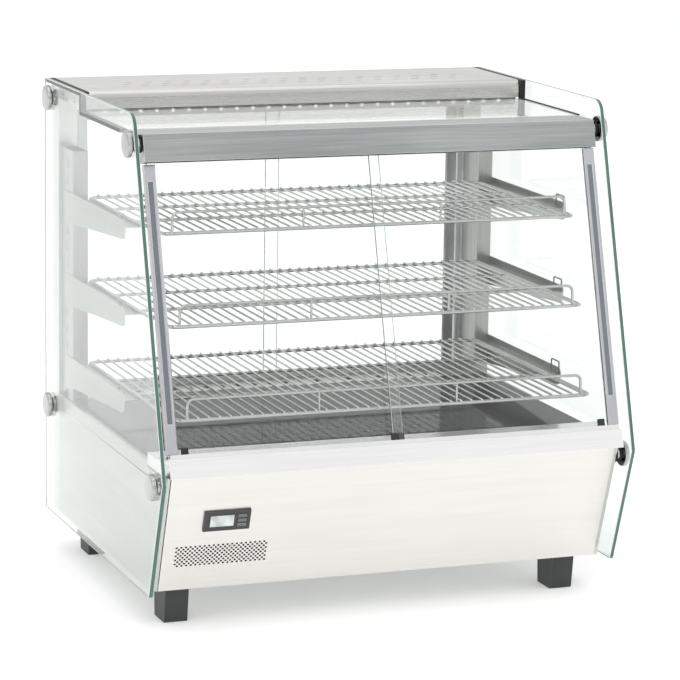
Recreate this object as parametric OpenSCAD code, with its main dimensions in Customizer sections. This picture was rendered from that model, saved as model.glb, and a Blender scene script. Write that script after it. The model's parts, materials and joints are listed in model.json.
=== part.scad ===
// Countertop heated display case with leaning glass ends, sliding doors front and rear,
// three wire shelves and a control base. X is across, Y runs from front to rear, Z is up.

/* [Case] */
// Width over the outer faces of the side glasses
case_w = 678; // [540:1:840]
// Depth from the nose of the side glass to its rear edge
case_d = 572; // [540:1:700]
// Height from the counter to the top edge of the side glass
case_h = 686; // [660:1:840]
// Height of the feet, from the counter to the bottom of the base
foot_h = 53; // [30:1:70]
// Thickness of folded sheet metal
sheet_t = 1.2; // [0.8:0.1:2]

/* [Side glass] */
// Thickness of the side glass
side_glass_t = 6; // [5:0.5:8]
// Gap between a side glass and the metal body, filled by bushes and gaskets
glass_gap = 8; // [6:0.5:12]
// Height of the nose, where the front edge changes its lean
nose_z = 220; // [200:1:240]
// How far the top front corner sits behind the nose
top_setback = 139; // [110:1:160]
// How far the bottom front corner sits behind the nose
chin_setback = 58; // [40:1:70]
// Radius of the top front corner
corner_r = 22; // [10:1:40]
// Radius of a chromed glass cap
cap_r = 18; // [14:0.5:22]
// Thickness of a chromed glass cap
cap_t = 7; // [4:0.5:10]
// Radius of the stud that carries a cap
stud_r = 4; // [3:0.5:5]

/* [Canopy] */
// Depth of the canopy from its front skirt to its rear skirt
canopy_d = 178; // [140:1:200]
// Height of the canopy
canopy_h = 25; // [20:1:34]
// Number of slanted vent groups along the canopy
vent_groups = 18; // [10:1:22]
// Thickness of the flat top glass
top_glass_t = 5; // [4:0.5:6]

/* [Top rail] */
// Height of the brushed rail above the front doors
rail_h = 36; // [30:1:44]
// Depth of the rail's top face
rail_d = 50; // [44:1:60]

/* [Doors] */
// Thickness of the door glass
door_t = 4; // [3:0.5:5]
// Distance between the two door planes of a pair
plane_pitch = 10; // [9:0.5:12]
// Width of the overlap between two closed doors
door_lap = 18; // [12:1:30]
// Width of a door's aluminium grip
grip_w = 16; // [12:1:20]
// Thickness of a door's aluminium grip
grip_t = 7; // [6:0.5:8]

/* [Shelves] */
// Height of the lowest pair of shelf brackets
shelf_z1 = 285; // [275:1:300]
// Height step from one pair of shelf brackets to the next
shelf_pitch = 119; // [100:1:124]
// Half of the shelf's width
shelf_half = 300; // [220:1:380]
// Diameter of a frame wire
frame_wire = 5; // [4:0.5:6]
// Diameter of a bar wire
bar_wire = 3; // [2:0.5:4]
// Spacing of the bar wires
bar_pitch = 15; // [12:0.5:20]
// Height of the front guard wire above the shelf frame
guard_h = 28; // [20:1:34]

/* [Uprights and brackets] */
// Width of a slotted upright
upright_w = 22; // [18:1:28]
// Depth of a slotted upright
upright_d = 58; // [50:1:64]
// Height of the top of the uprights
upright_top = 592; // [580:1:600]
// Length of a shelf bracket from its hooks to its front end
bracket_len = 290; // [200:1:300]
// Depth of a bracket plate at its hooks
bracket_h = 44; // [36:1:50]

/* [Controls] */
// Width of the temperature controller's bezel
bezel_w = 65; // [60:1:80]
// Height of the temperature controller's bezel
bezel_h = 31; // [28:1:36]
// Distance of the controller's middle from the middle of the case
control_x = -235; // [-245:1:-160]
// Width of the vent grille under the controller
grille_w = 131; // [90:1:140]
// Height of the vent grille
grille_h = 34; // [24:1:40]
// Side of one square grille hole
grille_hole = 3; // [2:0.1:3.2]

/* [Feet] */
// Width of a foot
foot_w = 34; // [28:1:44]
// Distance of a foot's middle from the middle of the case
foot_x = 284; // [220:1:290]

/* [Base parts] */
// Outer size of the cooling fan's frame
fan_size = 80; // [60:1:92]
// Diameter of the tubular heater
heater_d = 8; // [6:0.5:10]
// Width of the water tray
tray_w = 196; // [120:1:240]
// Length of the water tray
tray_len = 170; // [100:1:200]

/* [Hidden] */
$fn = 48;

steel = [0.80, 0.80, 0.78];
brushed = [0.62, 0.64, 0.64];
aluminium = [0.66, 0.66, 0.70];
chrome = [0.86, 0.87, 0.88];
clear = [0.72, 0.86, 0.82, 0.35];
black = [0.10, 0.10, 0.11];
charcoal = [0.23, 0.24, 0.24];

eps = 0.01;
clearance = 0.3;
y_nose = -case_d / 2;
y_rear = case_d / 2;
y_top = y_nose + top_setback;
y_chin = y_nose + chin_setback;
lean = atan(top_setback / (case_h - nose_z));
chin_lean = atan(chin_setback / (nose_z - foot_h));
glass_in = case_w / 2 - side_glass_t;
body_half = glass_in - glass_gap;

// Points of the front planes. n is the distance behind the glass edge, s runs up the slope.
function up_y(n, s) = y_nose + s * sin(lean) + n * cos(lean);
function up_z(n, s) = nose_z + s * cos(lean) - n * sin(lean);
function up_s(n, z) = (z - nose_z + n * sin(lean)) / cos(lean);
function up_pt(n, s) = [up_y(n, s), up_z(n, s)];
function low_y(n, s) = y_chin - s * sin(chin_lean) + n * cos(chin_lean);
function low_z(n, s) = foot_h + s * cos(chin_lean) + n * sin(chin_lean);
function low_s(n, z) = (z - foot_h - n * sin(chin_lean)) / cos(chin_lean);
function low_pt(n, s) = [low_y(n, s), low_z(n, s)];

// Outline of a folded sheet: the path given, and the same path moved to its side by t.
function unit(v) = v / norm(v);
function side_of(p, i) = let (d = unit(p[i + 1] - p[i])) [-d[1], d[0]];
function bend_of(p, i) =
    i == 0 ? side_of(p, 0)
    : i == len(p) - 1 ? side_of(p, len(p) - 2)
    : let (a = side_of(p, i - 1), m = unit(a + side_of(p, i))) m / (m * a);
function folded(p, t) = concat(p, [for (i = [len(p) - 1:-1:0]) p[i] + t * bend_of(p, i)]);
function arc(c, r, a0, a1, steps) =
    [for (i = [0:steps]) let (a = a0 + (a1 - a0) * i / steps) [c[0] + r * cos(a), c[1] + r * sin(a)]];

// Draws a YZ outline and extrudes it along X from x0 to x1.
module across(x0, x1) {
    translate([x0, 0, 0]) rotate([90, 0, 90]) linear_extrude(x1 - x0) children();
}
module upper_plane() {
    translate([0, y_nose, nose_z]) rotate([-lean, 0, 0]) children();
}
module lower_plane() {
    translate([0, y_chin, foot_h]) rotate([chin_lean, 0, 0]) children();
}
module box(x0, x1, y0, y1, z0, z1) {
    translate([x0, y0, z0]) cube([x1 - x0, y1 - y0, z1 - z0]);
}
module rod_x(r, x0, x1, y, z) {
    translate([x0, y, z]) rotate([0, 90, 0]) cylinder(r = r, h = x1 - x0);
}
module rod_y(r, x, y0, y1, z) {
    translate([x, y0, z]) rotate([-90, 0, 0]) cylinder(r = r, h = y1 - y0);
}
module rod_z(r, x, y, z0, z1) {
    translate([x, y, z0]) cylinder(r = r, h = z1 - z0);
}
module mirrored(side) {
    if (side > 0) children();
    else mirror([1, 0, 0]) children();
}

// ---- shared places -------------------------------------------------------
canopy_rear = y_rear - 2;
canopy_front = canopy_rear - canopy_d + 1;
canopy_bottom = case_h - canopy_h;
post_w = 28;
post_d = 38;
post_y0 = canopy_rear - post_d;
post_in = body_half - post_w;
panel_n = 22;
side_flange = 6;
panel_half = body_half - side_flange - clearance;
panel_bottom_s = low_s(panel_n, foot_h + 1);
panel_foot_y = low_y(panel_n, panel_bottom_s);
panel_return = 14;
sill_bottom_z = nose_z + 4;
panel_top_s = low_s(panel_n, sill_bottom_z - 1);
face_n = 6;
sill_top_s = 32;
front_plane_n = face_n + plane_pitch / 2 + 1;
sill_step_n = front_plane_n + door_t / 2 + plane_pitch * 1.5 + 2;
sill_z = up_z(sill_step_n, sill_top_s);
sill_back_y = up_y(sill_step_n, sill_top_s) + 57;
deck_z = sill_z - 12.5;
plate_t = 4.6;
rear_panel_y = canopy_rear - 2;
base_floor_z = foot_h + sheet_t;
track_floor_s = sill_top_s + 1.5;
track_rib_s = track_floor_s + 4.5;
door_bottom_s = track_floor_s + 0.5;
rail_top_z = canopy_bottom - 1.5;
rail_bottom_z = rail_top_z - rail_h;
rail_bottom_s = up_s(face_n, rail_bottom_z);
rail_top_s = up_s(face_n, rail_top_z);
rail_back_y = up_y(face_n, rail_top_s) + rail_d;
rail_ledge = 13;
track_mouth_s = rail_bottom_s + 1.5;
track_roof_s = track_mouth_s + 20;
door_top_s = track_mouth_s + 11;
upright_out = body_half - 5;
upright_y1 = post_y0 - clearance;
upright_y0 = upright_y1 - upright_d;
upright_z0 = deck_z + sheet_t;
slot_pitch = shelf_pitch / 5;
bracket_t = 1.5;
ledge_w = upright_out - shelf_half + 6;
rear_plane_y = post_y0 + 12;
rear_track_z = deck_z + sheet_t;
rear_door_z0 = rear_track_z + 3;
rear_roof_z = canopy_bottom - sheet_t;
rear_door_z1 = rear_roof_z - 5;
front_travel_half = body_half - 2;
rear_half = post_in - 1;

// Cap and stud places as [y, z] on each side glass.
bolt_spots = [
    [up_y(face_n, rail_top_s) + 13, rail_top_z - 14.5],
    [low_y(panel_n + 12, low_s(panel_n, nose_z - 12)), nose_z - 12],
    [post_y0 + post_d * 0.4, canopy_bottom - 1],
    [post_y0 + post_d * 0.4, nose_z - 8]
];
stud_bore = stud_r + 0.2;

// ---- base ------------------------------------------------------------------
module stud_holes(x0, x1, r) {
    for (spot = bolt_spots) rod_x(r, x0, x1, spot[0], spot[1]);
}

foot_spots = [[-1, -1], [1, -1], [-1, 1], [1, 1]];
foot_front_y = panel_foot_y + 52;
foot_rear_y = canopy_rear - 72;
function foot_y(end) = end < 0 ? foot_front_y : foot_rear_y;
foot_screw_r = 3;

module bottom_pan() {
    front = panel_foot_y + panel_return + clearance;
    color(steel) difference() {
        across(-body_half + 1.5, body_half - 1.5) polygon(folded([
            [front, base_floor_z + 12], [front + 4, foot_h],
            [rear_panel_y - sheet_t - 1, foot_h], [rear_panel_y - sheet_t - 1, base_floor_z + 12]
        ], sheet_t));
        for (p = foot_spots) rod_z(foot_screw_r + 0.2, p[0] * foot_x, foot_y(p[1]), foot_h - 1, foot_h + 3);
        for (side = [-1, 1])
            translate([side * (post_in + post_w / 2), post_y0 + post_d / 2, foot_h])
                cube([post_w + 2, post_d + 2, 40], center = true);
    }
}

side_flange_n = panel_n + 2;
module base_side(side) {
    bottom = low_pt(side_flange_n, low_s(side_flange_n, foot_h + 0.2));
    top = low_pt(side_flange_n, low_s(side_flange_n, sill_bottom_z - sheet_t - 0.5));
    color(steel) mirrored(side) difference() {
        union() {
            across(body_half - sheet_t, body_half) polygon([
                bottom, [post_y0 - clearance, foot_h + 0.2],
                [post_y0 - clearance, deck_z - clearance],
                [sill_back_y + 1, deck_z - clearance], [sill_back_y + 1, top[1]], top
            ]);
            lower_plane() box(body_half - side_flange, body_half, side_flange_n, side_flange_n + sheet_t,
                low_s(side_flange_n, foot_h + 0.5), low_s(side_flange_n, top[1] - 0.5));
        }
        stud_holes(body_half - 30, body_half + 1, stud_bore);
    }
}

control_s = low_s(panel_n, foot_h + 102);
grille_s = low_s(panel_n, foot_h + 51);
grille_step = grille_hole * 2.15;
module grille_holes(cx, cs) {
    rows = floor(grille_h / (grille_step / 2));
    cols = floor(grille_w / grille_step);
    for (r = [0:rows - 1]) for (c = [0:cols - 1])
        translate([
            cx + (c - (cols - 1) / 2 + (r % 2 == 0 ? 0.25 : -0.25)) * grille_step,
            panel_n, cs + (r - (rows - 1) / 2) * grille_step / 2
        ]) cube([grille_hole, 8, grille_hole - 0.4], center = true);
}

// The inner end of a return that runs level, backwards from the panel's face at s.
function level_return(s) =
    [panel_n + panel_return * cos(chin_lean), s - panel_return * sin(chin_lean)];
module front_panel() {
    color(steel) difference() {
        translate([0, y_chin, foot_h]) rotate([chin_lean, 0, 0]) across(-panel_half, panel_half)
            polygon(folded([
                level_return(panel_bottom_s), [panel_n, panel_bottom_s],
                [panel_n, panel_top_s], level_return(panel_top_s)
            ], -sheet_t));
        lower_plane() {
            translate([control_x, panel_n, control_s])
                cube([bezel_w - 5, 8, bezel_h - 5], center = true);
            grille_holes(control_x - 2, grille_s);
        }
    }
}

fan_x = -205;
fan_z = foot_h + 78;
rocker_x = 196;
rocker_gap = 34;
rocker_z = foot_h + 78;
inlet_x = 118;
rocker_cut = [14, 24];
inlet_cut = [30, 22];
tray_z0 = deck_z - 42;
tray_h = 32;
tray_wall = 1.2;
module rear_panel() {
    color(steel) difference() {
        across(-post_in + 0.5, post_in - 0.5) polygon(folded([
            [rear_panel_y, foot_h + 0.5], [rear_panel_y, deck_z], [post_y0 + 3, deck_z]
        ], sheet_t));
        for (ring = [1:4]) for (k = [0:ring * 6 - 1])
            rod_y(2.4, fan_x + ring * 8.5 * cos(k * 60 / ring), rear_panel_y - 4, rear_panel_y + 4,
                fan_z + ring * 8.5 * sin(k * 60 / ring));
        for (k = [0:1]) translate([rocker_x + k * rocker_gap, rear_panel_y, rocker_z])
            cube([rocker_cut[0] + 0.6, 10, rocker_cut[1] + 0.6], center = true);
        translate([inlet_x, rear_panel_y, rocker_z])
            cube([inlet_cut[0] + 0.6, 10, inlet_cut[1] + 0.6], center = true);
        box(-tray_w / 2 - 3, tray_w / 2 + 3, rear_panel_y - 5, rear_panel_y + 5,
            tray_z0 - 3, tray_z0 + tray_h + 3);
    }
}

module front_sill() {
    front = [up_y(face_n, up_s(face_n, sill_bottom_z)), sill_bottom_z];
    path = [
        [low_y(panel_n + 20, panel_top_s), sill_bottom_z], front, up_pt(face_n, sill_top_s),
        up_pt(sill_step_n, sill_top_s), [sill_back_y, sill_z], [sill_back_y, deck_z + sheet_t + 0.5]
    ];
    color(brushed) {
        across(-body_half, body_half) polygon(folded(path, -sheet_t));
        for (side = [-1, 1]) mirrored(side)
            across(body_half - 2, body_half) polygon(concat(path, [[sill_back_y, sill_bottom_z]]));
    }
}

module deck_frame() {
    slot_n = 22;
    slot_gap = (post_in * 2 - 50) / slot_n;
    lip_back = post_y0 - clearance - sheet_t;
    color(steel) difference() {
        across(-body_half, body_half) polygon(folded([
            [sill_back_y + 1.4, deck_z - 16], [sill_back_y + 1.4, deck_z],
            [lip_back, deck_z], [lip_back, deck_z - 16]
        ], sheet_t));
        box(-tray_w / 2 - 17, tray_w / 2 + 17, lip_back - sheet_t - 1, lip_back + sheet_t + 1,
            deck_z - 17, deck_z - sheet_t - eps);
        for (side = [-1, 1]) box(side > 0 ? body_half - 2 : -body_half - 1, side > 0 ? body_half + 1 : 2 - body_half,
            sill_back_y, post_y0, deck_z - 20, deck_z - eps);
        for (k = [0:slot_n - 1]) for (row = [0:1])
            translate([(k - (slot_n - 1) / 2) * slot_gap, upright_y0 + 14 + row * 26, deck_z])
                cube([slot_gap * 0.28, 18, 8], center = true);
    }
}

module deck_plate() {
    color(black) box(-body_half + 9, body_half - 9, sill_back_y + 2, upright_y0 - 2,
        deck_z + sheet_t, deck_z + sheet_t + plate_t);
}

module foot(x, y) {
    across(x - foot_w / 2, x + foot_w / 2) polygon([
        [y - 21, 0], [y + 21, 0], [y + 25, foot_h], [y - 28, foot_h]
    ]);
}
module feet() {
    color(charcoal) for (p = foot_spots) {
        difference() {
            foot(p[0] * foot_x, foot_y(p[1]));
            rod_z(foot_screw_r + 0.2, p[0] * foot_x, foot_y(p[1]), -1, foot_h + 1);
            rod_z(7, p[0] * foot_x, foot_y(p[1]), -1, 14);
        }
        rod_z(foot_screw_r, p[0] * foot_x, foot_y(p[1]), 12, foot_h + 10);
        rod_z(6, p[0] * foot_x, foot_y(p[1]), 10, 14 - 0.1);
    }
}

// ---- frame -----------------------------------------------------------------
module rear_post(side) {
    wall = 1.5;
    color(steel) mirrored(side) difference() {
        box(post_in, body_half, post_y0, canopy_rear, foot_h + 0.5, case_h - sheet_t - 0.2);
        box(post_in + wall, body_half - wall, post_y0 + wall, canopy_rear - wall,
            foot_h - 1, case_h);
        stud_holes(body_half - 5, body_half + 1, stud_bore);
    }
}

module upright(side) {
    wall = 1.5;
    color(brushed) mirrored(side) difference() {
        box(upright_out - upright_w, upright_out, upright_y0, upright_y1, upright_z0, upright_top);
        box(upright_out - upright_w + wall, upright_out - wall, upright_y0 + wall,
            upright_y1 - wall, upright_z0 - 1, upright_top + 1);
        for (z = [shelf_z1 - 2 * slot_pitch:slot_pitch:upright_top - 12])
            translate([upright_out, upright_y0 + upright_d / 2, z]) cube([8, 4, 13], center = true);
    }
}

// One bracket: an upright plate, an inward ledge for the shelf, and two hooks in the slots.
module bracket(side, z) {
    y_hook = upright_y0 + upright_d / 2;
    y_front = y_hook - bracket_len;
    x_in = upright_out + 0.2;
    rise = 9;
    color(brushed) mirrored(side) {
        across(x_in, x_in + bracket_t) polygon([
            [y_hook + 8, z + rise], [y_front + 4, z + rise], [y_front, z + rise - 6],
            [y_front + 3, z - 14], [y_front + 10, z - 17], [y_hook - 24, z + rise - bracket_h],
            [y_hook + 8, z + rise - bracket_h]
        ]);
        box(x_in + eps - ledge_w, x_in + bracket_t - eps, y_front + 8, upright_y0 - 1, z - bracket_t, z);
        for (k = [0, 1]) {
            hook_z = z - k * slot_pitch;
            box(upright_out - 4.2, x_in + eps, y_hook - 1, y_hook + 1, hook_z - 5, hook_z + 2);
            box(upright_out - 4.2, upright_out - 2.2, y_hook - 1, y_hook + 1, hook_z - 9, hook_z + 2);
        }
    }
}
module brackets(side) {
    for (level = [0:2]) bracket(side, shelf_z1 + level * shelf_pitch);
}

vent_rows = 3;
vent_len = 11;
vent_w = 2.6;
module vent_slot(x, y) {
    translate([x, y, case_h - 4]) linear_extrude(6) {
        square([vent_len - vent_w, vent_w], center = true);
        for (end = [-1, 1]) translate([end * (vent_len - vent_w) / 2, 0]) circle(d = vent_w, $fn = 20);
    }
}
module canopy() {
    roll = 9;
    skin = concat(
        [[canopy_front + 12, canopy_bottom], [canopy_front, canopy_bottom]],
        arc([canopy_front + roll, case_h - roll], roll, 180, 90, 6),
        [[canopy_rear, case_h], [canopy_rear, canopy_bottom]]
    );
    pitch = body_half * 1.62 / vent_groups;
    color(steel) difference() {
        union() {
            across(-body_half, body_half) polygon(folded(skin, -sheet_t));
            for (side = [-1, 1]) mirrored(side) across(body_half - sheet_t, body_half)
                polygon(concat([for (p = skin) p[0] > post_y0 ? [post_y0 - 1, p[1]] : p]));
        }
        for (side = [-1, 1]) mirrored(side)
            box(post_in - 0.5, body_half + 1, post_y0 - 0.5, canopy_rear + 1,
                canopy_bottom - 1, case_h - sheet_t);
        for (g = [0:vent_groups - 1]) for (row = [0:vent_rows - 1])
            vent_slot((g - (vent_groups - 1) / 2) * pitch + (row - 1) * 9,
                canopy_front + canopy_d * 0.28 + row * 21);
    }
}

lip_y = canopy_front + 9;
module lamp_pan() {
    color(steel) across(-body_half + 1.5, body_half - 1.5) polygon(folded([
        [lip_y, canopy_bottom - 16], [lip_y, canopy_bottom - 0.2],
        [post_y0 - 1.5, canopy_bottom - 0.2]
    ], -sheet_t));
}

led_count = 26;
module led_strip() {
    pitch = (body_half * 2 - 30) / led_count;
    color("white") {
        box(-body_half + 12, body_half - 12, lip_y - 2, lip_y - 0.05, canopy_bottom - 13, canopy_bottom - 5);
        for (k = [0:led_count - 1])
            translate([(k - (led_count - 1) / 2) * pitch, lip_y - 2.6, canopy_bottom - 9])
                cube([5, 1.4, 5], center = true);
    }
}

module top_glass() {
    color(clear) box(-body_half + 0.5, body_half - 0.5, rail_back_y + 0.5, lip_y - 4,
        rail_top_z - top_glass_t, rail_top_z);
}

module top_rail() {
    step_z = rail_top_z - top_glass_t - 0.2;
    back = rail_back_y + rail_ledge;
    floor_z = up_z(28, track_roof_s) + 3;
    path = [
        up_pt(face_n, rail_bottom_s), up_pt(face_n, rail_top_s), [rail_back_y, rail_top_z],
        [rail_back_y, step_z], [back, step_z], [back, floor_z], [up_y(32, track_roof_s), floor_z]
    ];
    color(brushed) difference() {
        union() {
            across(-body_half, body_half) polygon(folded(path, -1.5));
            for (side = [-1, 1]) mirrored(side) across(body_half - 2, body_half)
                polygon(concat(path, [up_pt(30.4, track_mouth_s)]));
        }
        for (side = [-1, 1]) mirrored(side) stud_holes(body_half - 5, body_half + 1, stud_bore);
    }
}

// ---- side glass and its fittings ---------------------------------------------
module side_outline() {
    nose_r = 8;
    // The rounded corner is tangent to the top edge and to the leaning front edge.
    corner = [y_top + corner_r * tan(45 + lean / 2 - lean), case_h - corner_r];
    polygon(concat(
        [[y_rear, foot_h], [y_rear, case_h]],
        arc(corner, corner_r, 90, 180 - lean, 10),
        arc([y_nose + nose_r * 1.02, nose_z], nose_r, 180 - lean, 180 + chin_lean, 4),
        [[y_chin, foot_h]]
    ));
}
module side_glass(side) {
    color(clear) mirrored(side) difference() {
        across(glass_in, glass_in + side_glass_t) side_outline();
        stud_holes(glass_in - 1, glass_in + side_glass_t + 1, stud_r + 2);
    }
}
module gasket(side) {
    thick = 6;
    color(black) mirrored(side) across(body_half, glass_in) {
        polygon([
            [canopy_rear, case_h], [canopy_front - thick + 2, case_h],
            [canopy_front - thick + 2, rail_top_z], [rail_back_y + rail_ledge, rail_top_z],
            [rail_back_y + rail_ledge, rail_top_z - thick], [canopy_front + 3, rail_top_z - thick],
            [canopy_front + 3, case_h - thick], [canopy_rear, case_h - thick]
        ]);
    }
}
module glass_bolts() {
    color(chrome) for (side = [-1, 1]) for (spot = bolt_spots) mirrored(side) {
        rod_x(stud_r, body_half - 14, case_w / 2 + 0.5, spot[0], spot[1]);
        translate([case_w / 2, spot[0], spot[1]]) rotate([0, 90, 0]) rotate_extrude()
            polygon([[0, 0], [cap_r, 0], [cap_r, cap_t - 1.5], [cap_r - 1.5, cap_t], [0, cap_t]]);
    }
}
module glass_bushes() {
    color(black) for (side = [-1, 1]) for (spot = bolt_spots) mirrored(side) difference() {
        rod_x(12, body_half, glass_in, spot[0], spot[1]);
        rod_x(stud_bore, body_half - 1, glass_in + 1, spot[0], spot[1]);
    }
}

// ---- front doors ------------------------------------------------------------------
function plane_n(inner) = front_plane_n + (inner ? plane_pitch : 0);
module front_track(floor_s, rib_s) {
    wall = 1.2;
    x = body_half - 3;
    mid = front_plane_n + door_t / 2;
    lo = min(floor_s, rib_s);
    hi = max(floor_s, rib_s);
    base = floor_s < rib_s ? floor_s - 1.4 : floor_s;
    upper_plane() {
        box(-x, x, mid - plane_pitch / 2 - wall / 2, mid + plane_pitch * 1.5 + wall / 2, base, base + 1.4);
        for (k = [0:2]) box(-x, x, mid + (k - 0.5) * plane_pitch - wall / 2,
            mid + (k - 0.5) * plane_pitch + wall / 2, lo - (base < lo ? 0.5 : 0), hi + (base < lo ? 0 : 0.5));
    }
}
module front_lower_track() {
    color(aluminium) front_track(track_floor_s, track_rib_s);
}
module front_upper_track() {
    color(aluminium) front_track(track_roof_s - 1.4, track_mouth_s);
}
// side -1 is the left door, in the inner plane; side 1 is the right door, in the outer plane.
module front_door(side) {
    n0 = plane_n(side < 0);
    color(clear) upper_plane() mirrored(side)
        box(-door_lap / 2, front_travel_half - 5, n0, n0 + door_t, door_bottom_s, door_top_s);
}
module front_grip(side) {
    n0 = plane_n(side < 0);
    mid = n0 + door_t / 2;
    s0 = track_rib_s + 0.6;
    s1 = rail_bottom_s - 1;
    color(aluminium) upper_plane() mirrored(side) difference() {
        box(front_travel_half - grip_w, front_travel_half, mid - grip_t / 2, mid + grip_t / 2, s0, s1);
        box(front_travel_half - grip_w - 1, front_travel_half - 5 + 0.1, n0 - 0.1, n0 + door_t + 0.1,
            s0 - 1, s1 + 1);
        box(front_travel_half - grip_w + 4, front_travel_half - 4, mid - grip_t / 2 - 1, n0 - 0.6,
            s0 + 40, s1 - 22);
    }
}
module front_glides(side) {
    n0 = plane_n(side < 0);
    mid = n0 + door_t / 2;
    color(black) upper_plane() mirrored(side) for (x = [-door_lap / 2 - 1.2, front_travel_half - 30])
        difference() {
            box(x, x + 9, mid - 3.4, mid + 3.4, track_floor_s + 0.3, track_floor_s + 14);
            box(x < 0 ? x + 1 : x - 1, x + 10, n0 - 0.05, n0 + door_t + 0.05, door_bottom_s - 0.05,
                track_floor_s + 15);
        }
}

// ---- rear doors -------------------------------------------------------------------
module rear_track(z0, z1, floor_low) {
    wall = 1.2;
    mid = rear_plane_y + door_t / 2;
    color(aluminium) {
        box(-rear_half, rear_half, mid - plane_pitch / 2 - wall / 2, mid + plane_pitch * 1.5 + wall / 2,
            floor_low ? z0 : z1 - 1.4, floor_low ? z0 + 1.4 : z1);
        for (k = [0:2]) box(-rear_half, rear_half, mid + (k - 0.5) * plane_pitch - wall / 2,
            mid + (k - 0.5) * plane_pitch + wall / 2, z0, z1);
    }
}
module rear_lower_track() {
    rear_track(rear_track_z, rear_track_z + 9, true);
}
module rear_upper_track() {
    rear_track(rear_roof_z - 18, rear_roof_z - 0.3, false);
}
// side -1 is the door on the -X half, in the inner plane; side 1 is in the outer plane.
function rear_y(side) = rear_plane_y + (side < 0 ? 0 : plane_pitch);
module rear_door(side) {
    color(clear) mirrored(side) box(-door_lap / 2, rear_half - 6, rear_y(side), rear_y(side) + door_t,
        rear_door_z0, rear_door_z1);
}
module rear_grip(side) {
    y0 = rear_y(side);
    mid = y0 + door_t / 2;
    z0 = rear_track_z + 10;
    z1 = rear_roof_z - 19;
    color(aluminium) mirrored(side) difference() {
        box(rear_half - 1 - grip_w, rear_half - 1, mid - grip_t / 2, mid + grip_t / 2, z0, z1);
        box(rear_half - 2 - grip_w, rear_half - 5.9, y0 - 0.1, y0 + door_t + 0.1, z0 - 1, z1 + 1);
        box(rear_half - grip_w + 3, rear_half - 5, y0 + door_t + 0.6, mid + grip_t / 2 + 1, z0 + 60, z1 - 60);
    }
}

// ---- shelves ------------------------------------------------------------------------
// Each shelf reaches as far forward as the leaning doors allow at its own height.
guard_clear = 13;
function shelf_front(z) = up_y(plane_n(true) + door_t, up_s(0, z + guard_h + 12)) + guard_clear;
shelf_back = upright_y0 - 6;
module shelf(z) {
    r = frame_wire / 2;
    cross_r = r - 0.3;
    front = shelf_front(z) - 4;
    zc = z + clearance + r;
    bar_z = zc + cross_r + bar_wire / 2 - 0.5;
    depth = shelf_back - front;
    bars = floor((2 * shelf_half - 24) / bar_pitch);
    guard_x = shelf_half - 16;
    bend = 10;
    color(chrome) {
        for (side = [-1, 1]) rod_y(r, side * (shelf_half - r), front - r, shelf_back + r, zc);
        for (k = [0, 0.34, 0.67, 1])
            rod_x(cross_r, -shelf_half + r, shelf_half - r, front + k * depth, zc);
        for (k = [0:bars])
            rod_y(bar_wire / 2, (k - bars / 2) * bar_pitch, front - r + 0.8, shelf_back + r - 0.8, bar_z);
        rod_x(bar_wire / 2 + 0.4, -guard_x + bend, guard_x - bend, front + 2, zc + guard_h);
        for (side = [-1, 1]) {
            rod_z(bar_wire / 2 + 0.4, side * guard_x, front + 2, zc, zc + guard_h - bend);
            rod_z(bar_wire / 2, side * guard_x * 0.35, front + 2, zc, zc + guard_h);
            translate([side * (guard_x - bend), front + 2, zc + guard_h - bend])
                rotate([90, 0, side > 0 ? 0 : 180]) rotate_extrude(angle = 90)
                    translate([bend, 0]) circle(r = bar_wire / 2 + 0.4, $fn = 24);
        }
    }
}

// ---- inside the base ------------------------------------------------------------------
heater_z = deck_z - 14;
heater_half = 200;
heater_y = [-120, -60, 0, 60];
module heater_element() {
    r = heater_d / 2;
    turn = (heater_y[1] - heater_y[0]) / 2;
    color(charcoal) {
        for (y = heater_y) rod_x(r, -heater_half, heater_half, y, heater_z);
        for (k = [0:2]) translate([k % 2 == 0 ? heater_half : -heater_half, heater_y[k] + turn, heater_z])
            rotate([0, 0, k % 2 == 0 ? -90 : 90]) rotate_extrude(angle = 180)
                translate([turn, 0]) circle(r = r, $fn = 32);
    }
}
module heater_clips() {
    t = 1.5;
    color(steel) for (x = [-130, 130]) {
        difference() {
            box(x - 6, x + 6, heater_y[0] - 14, heater_y[3] + 14, heater_z - heater_d / 2 - 4, heater_z + heater_d / 2 + 4);
            for (y = heater_y) rod_x(heater_d / 2 + 0.1, x - 7, x + 7, y, heater_z);
            for (k = [0:2]) box(x - 7, x + 7, heater_y[k] + 9, heater_y[k + 1] - 9,
                heater_z - heater_d / 2 - 5, heater_z + heater_d / 2 + 2.5);
        }
        for (y = [heater_y[0] - 11, heater_y[3] + 11])
            box(x - 6, x + 6, y - t / 2, y + t / 2, heater_z, deck_z - 0.2);
    }
}

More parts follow.
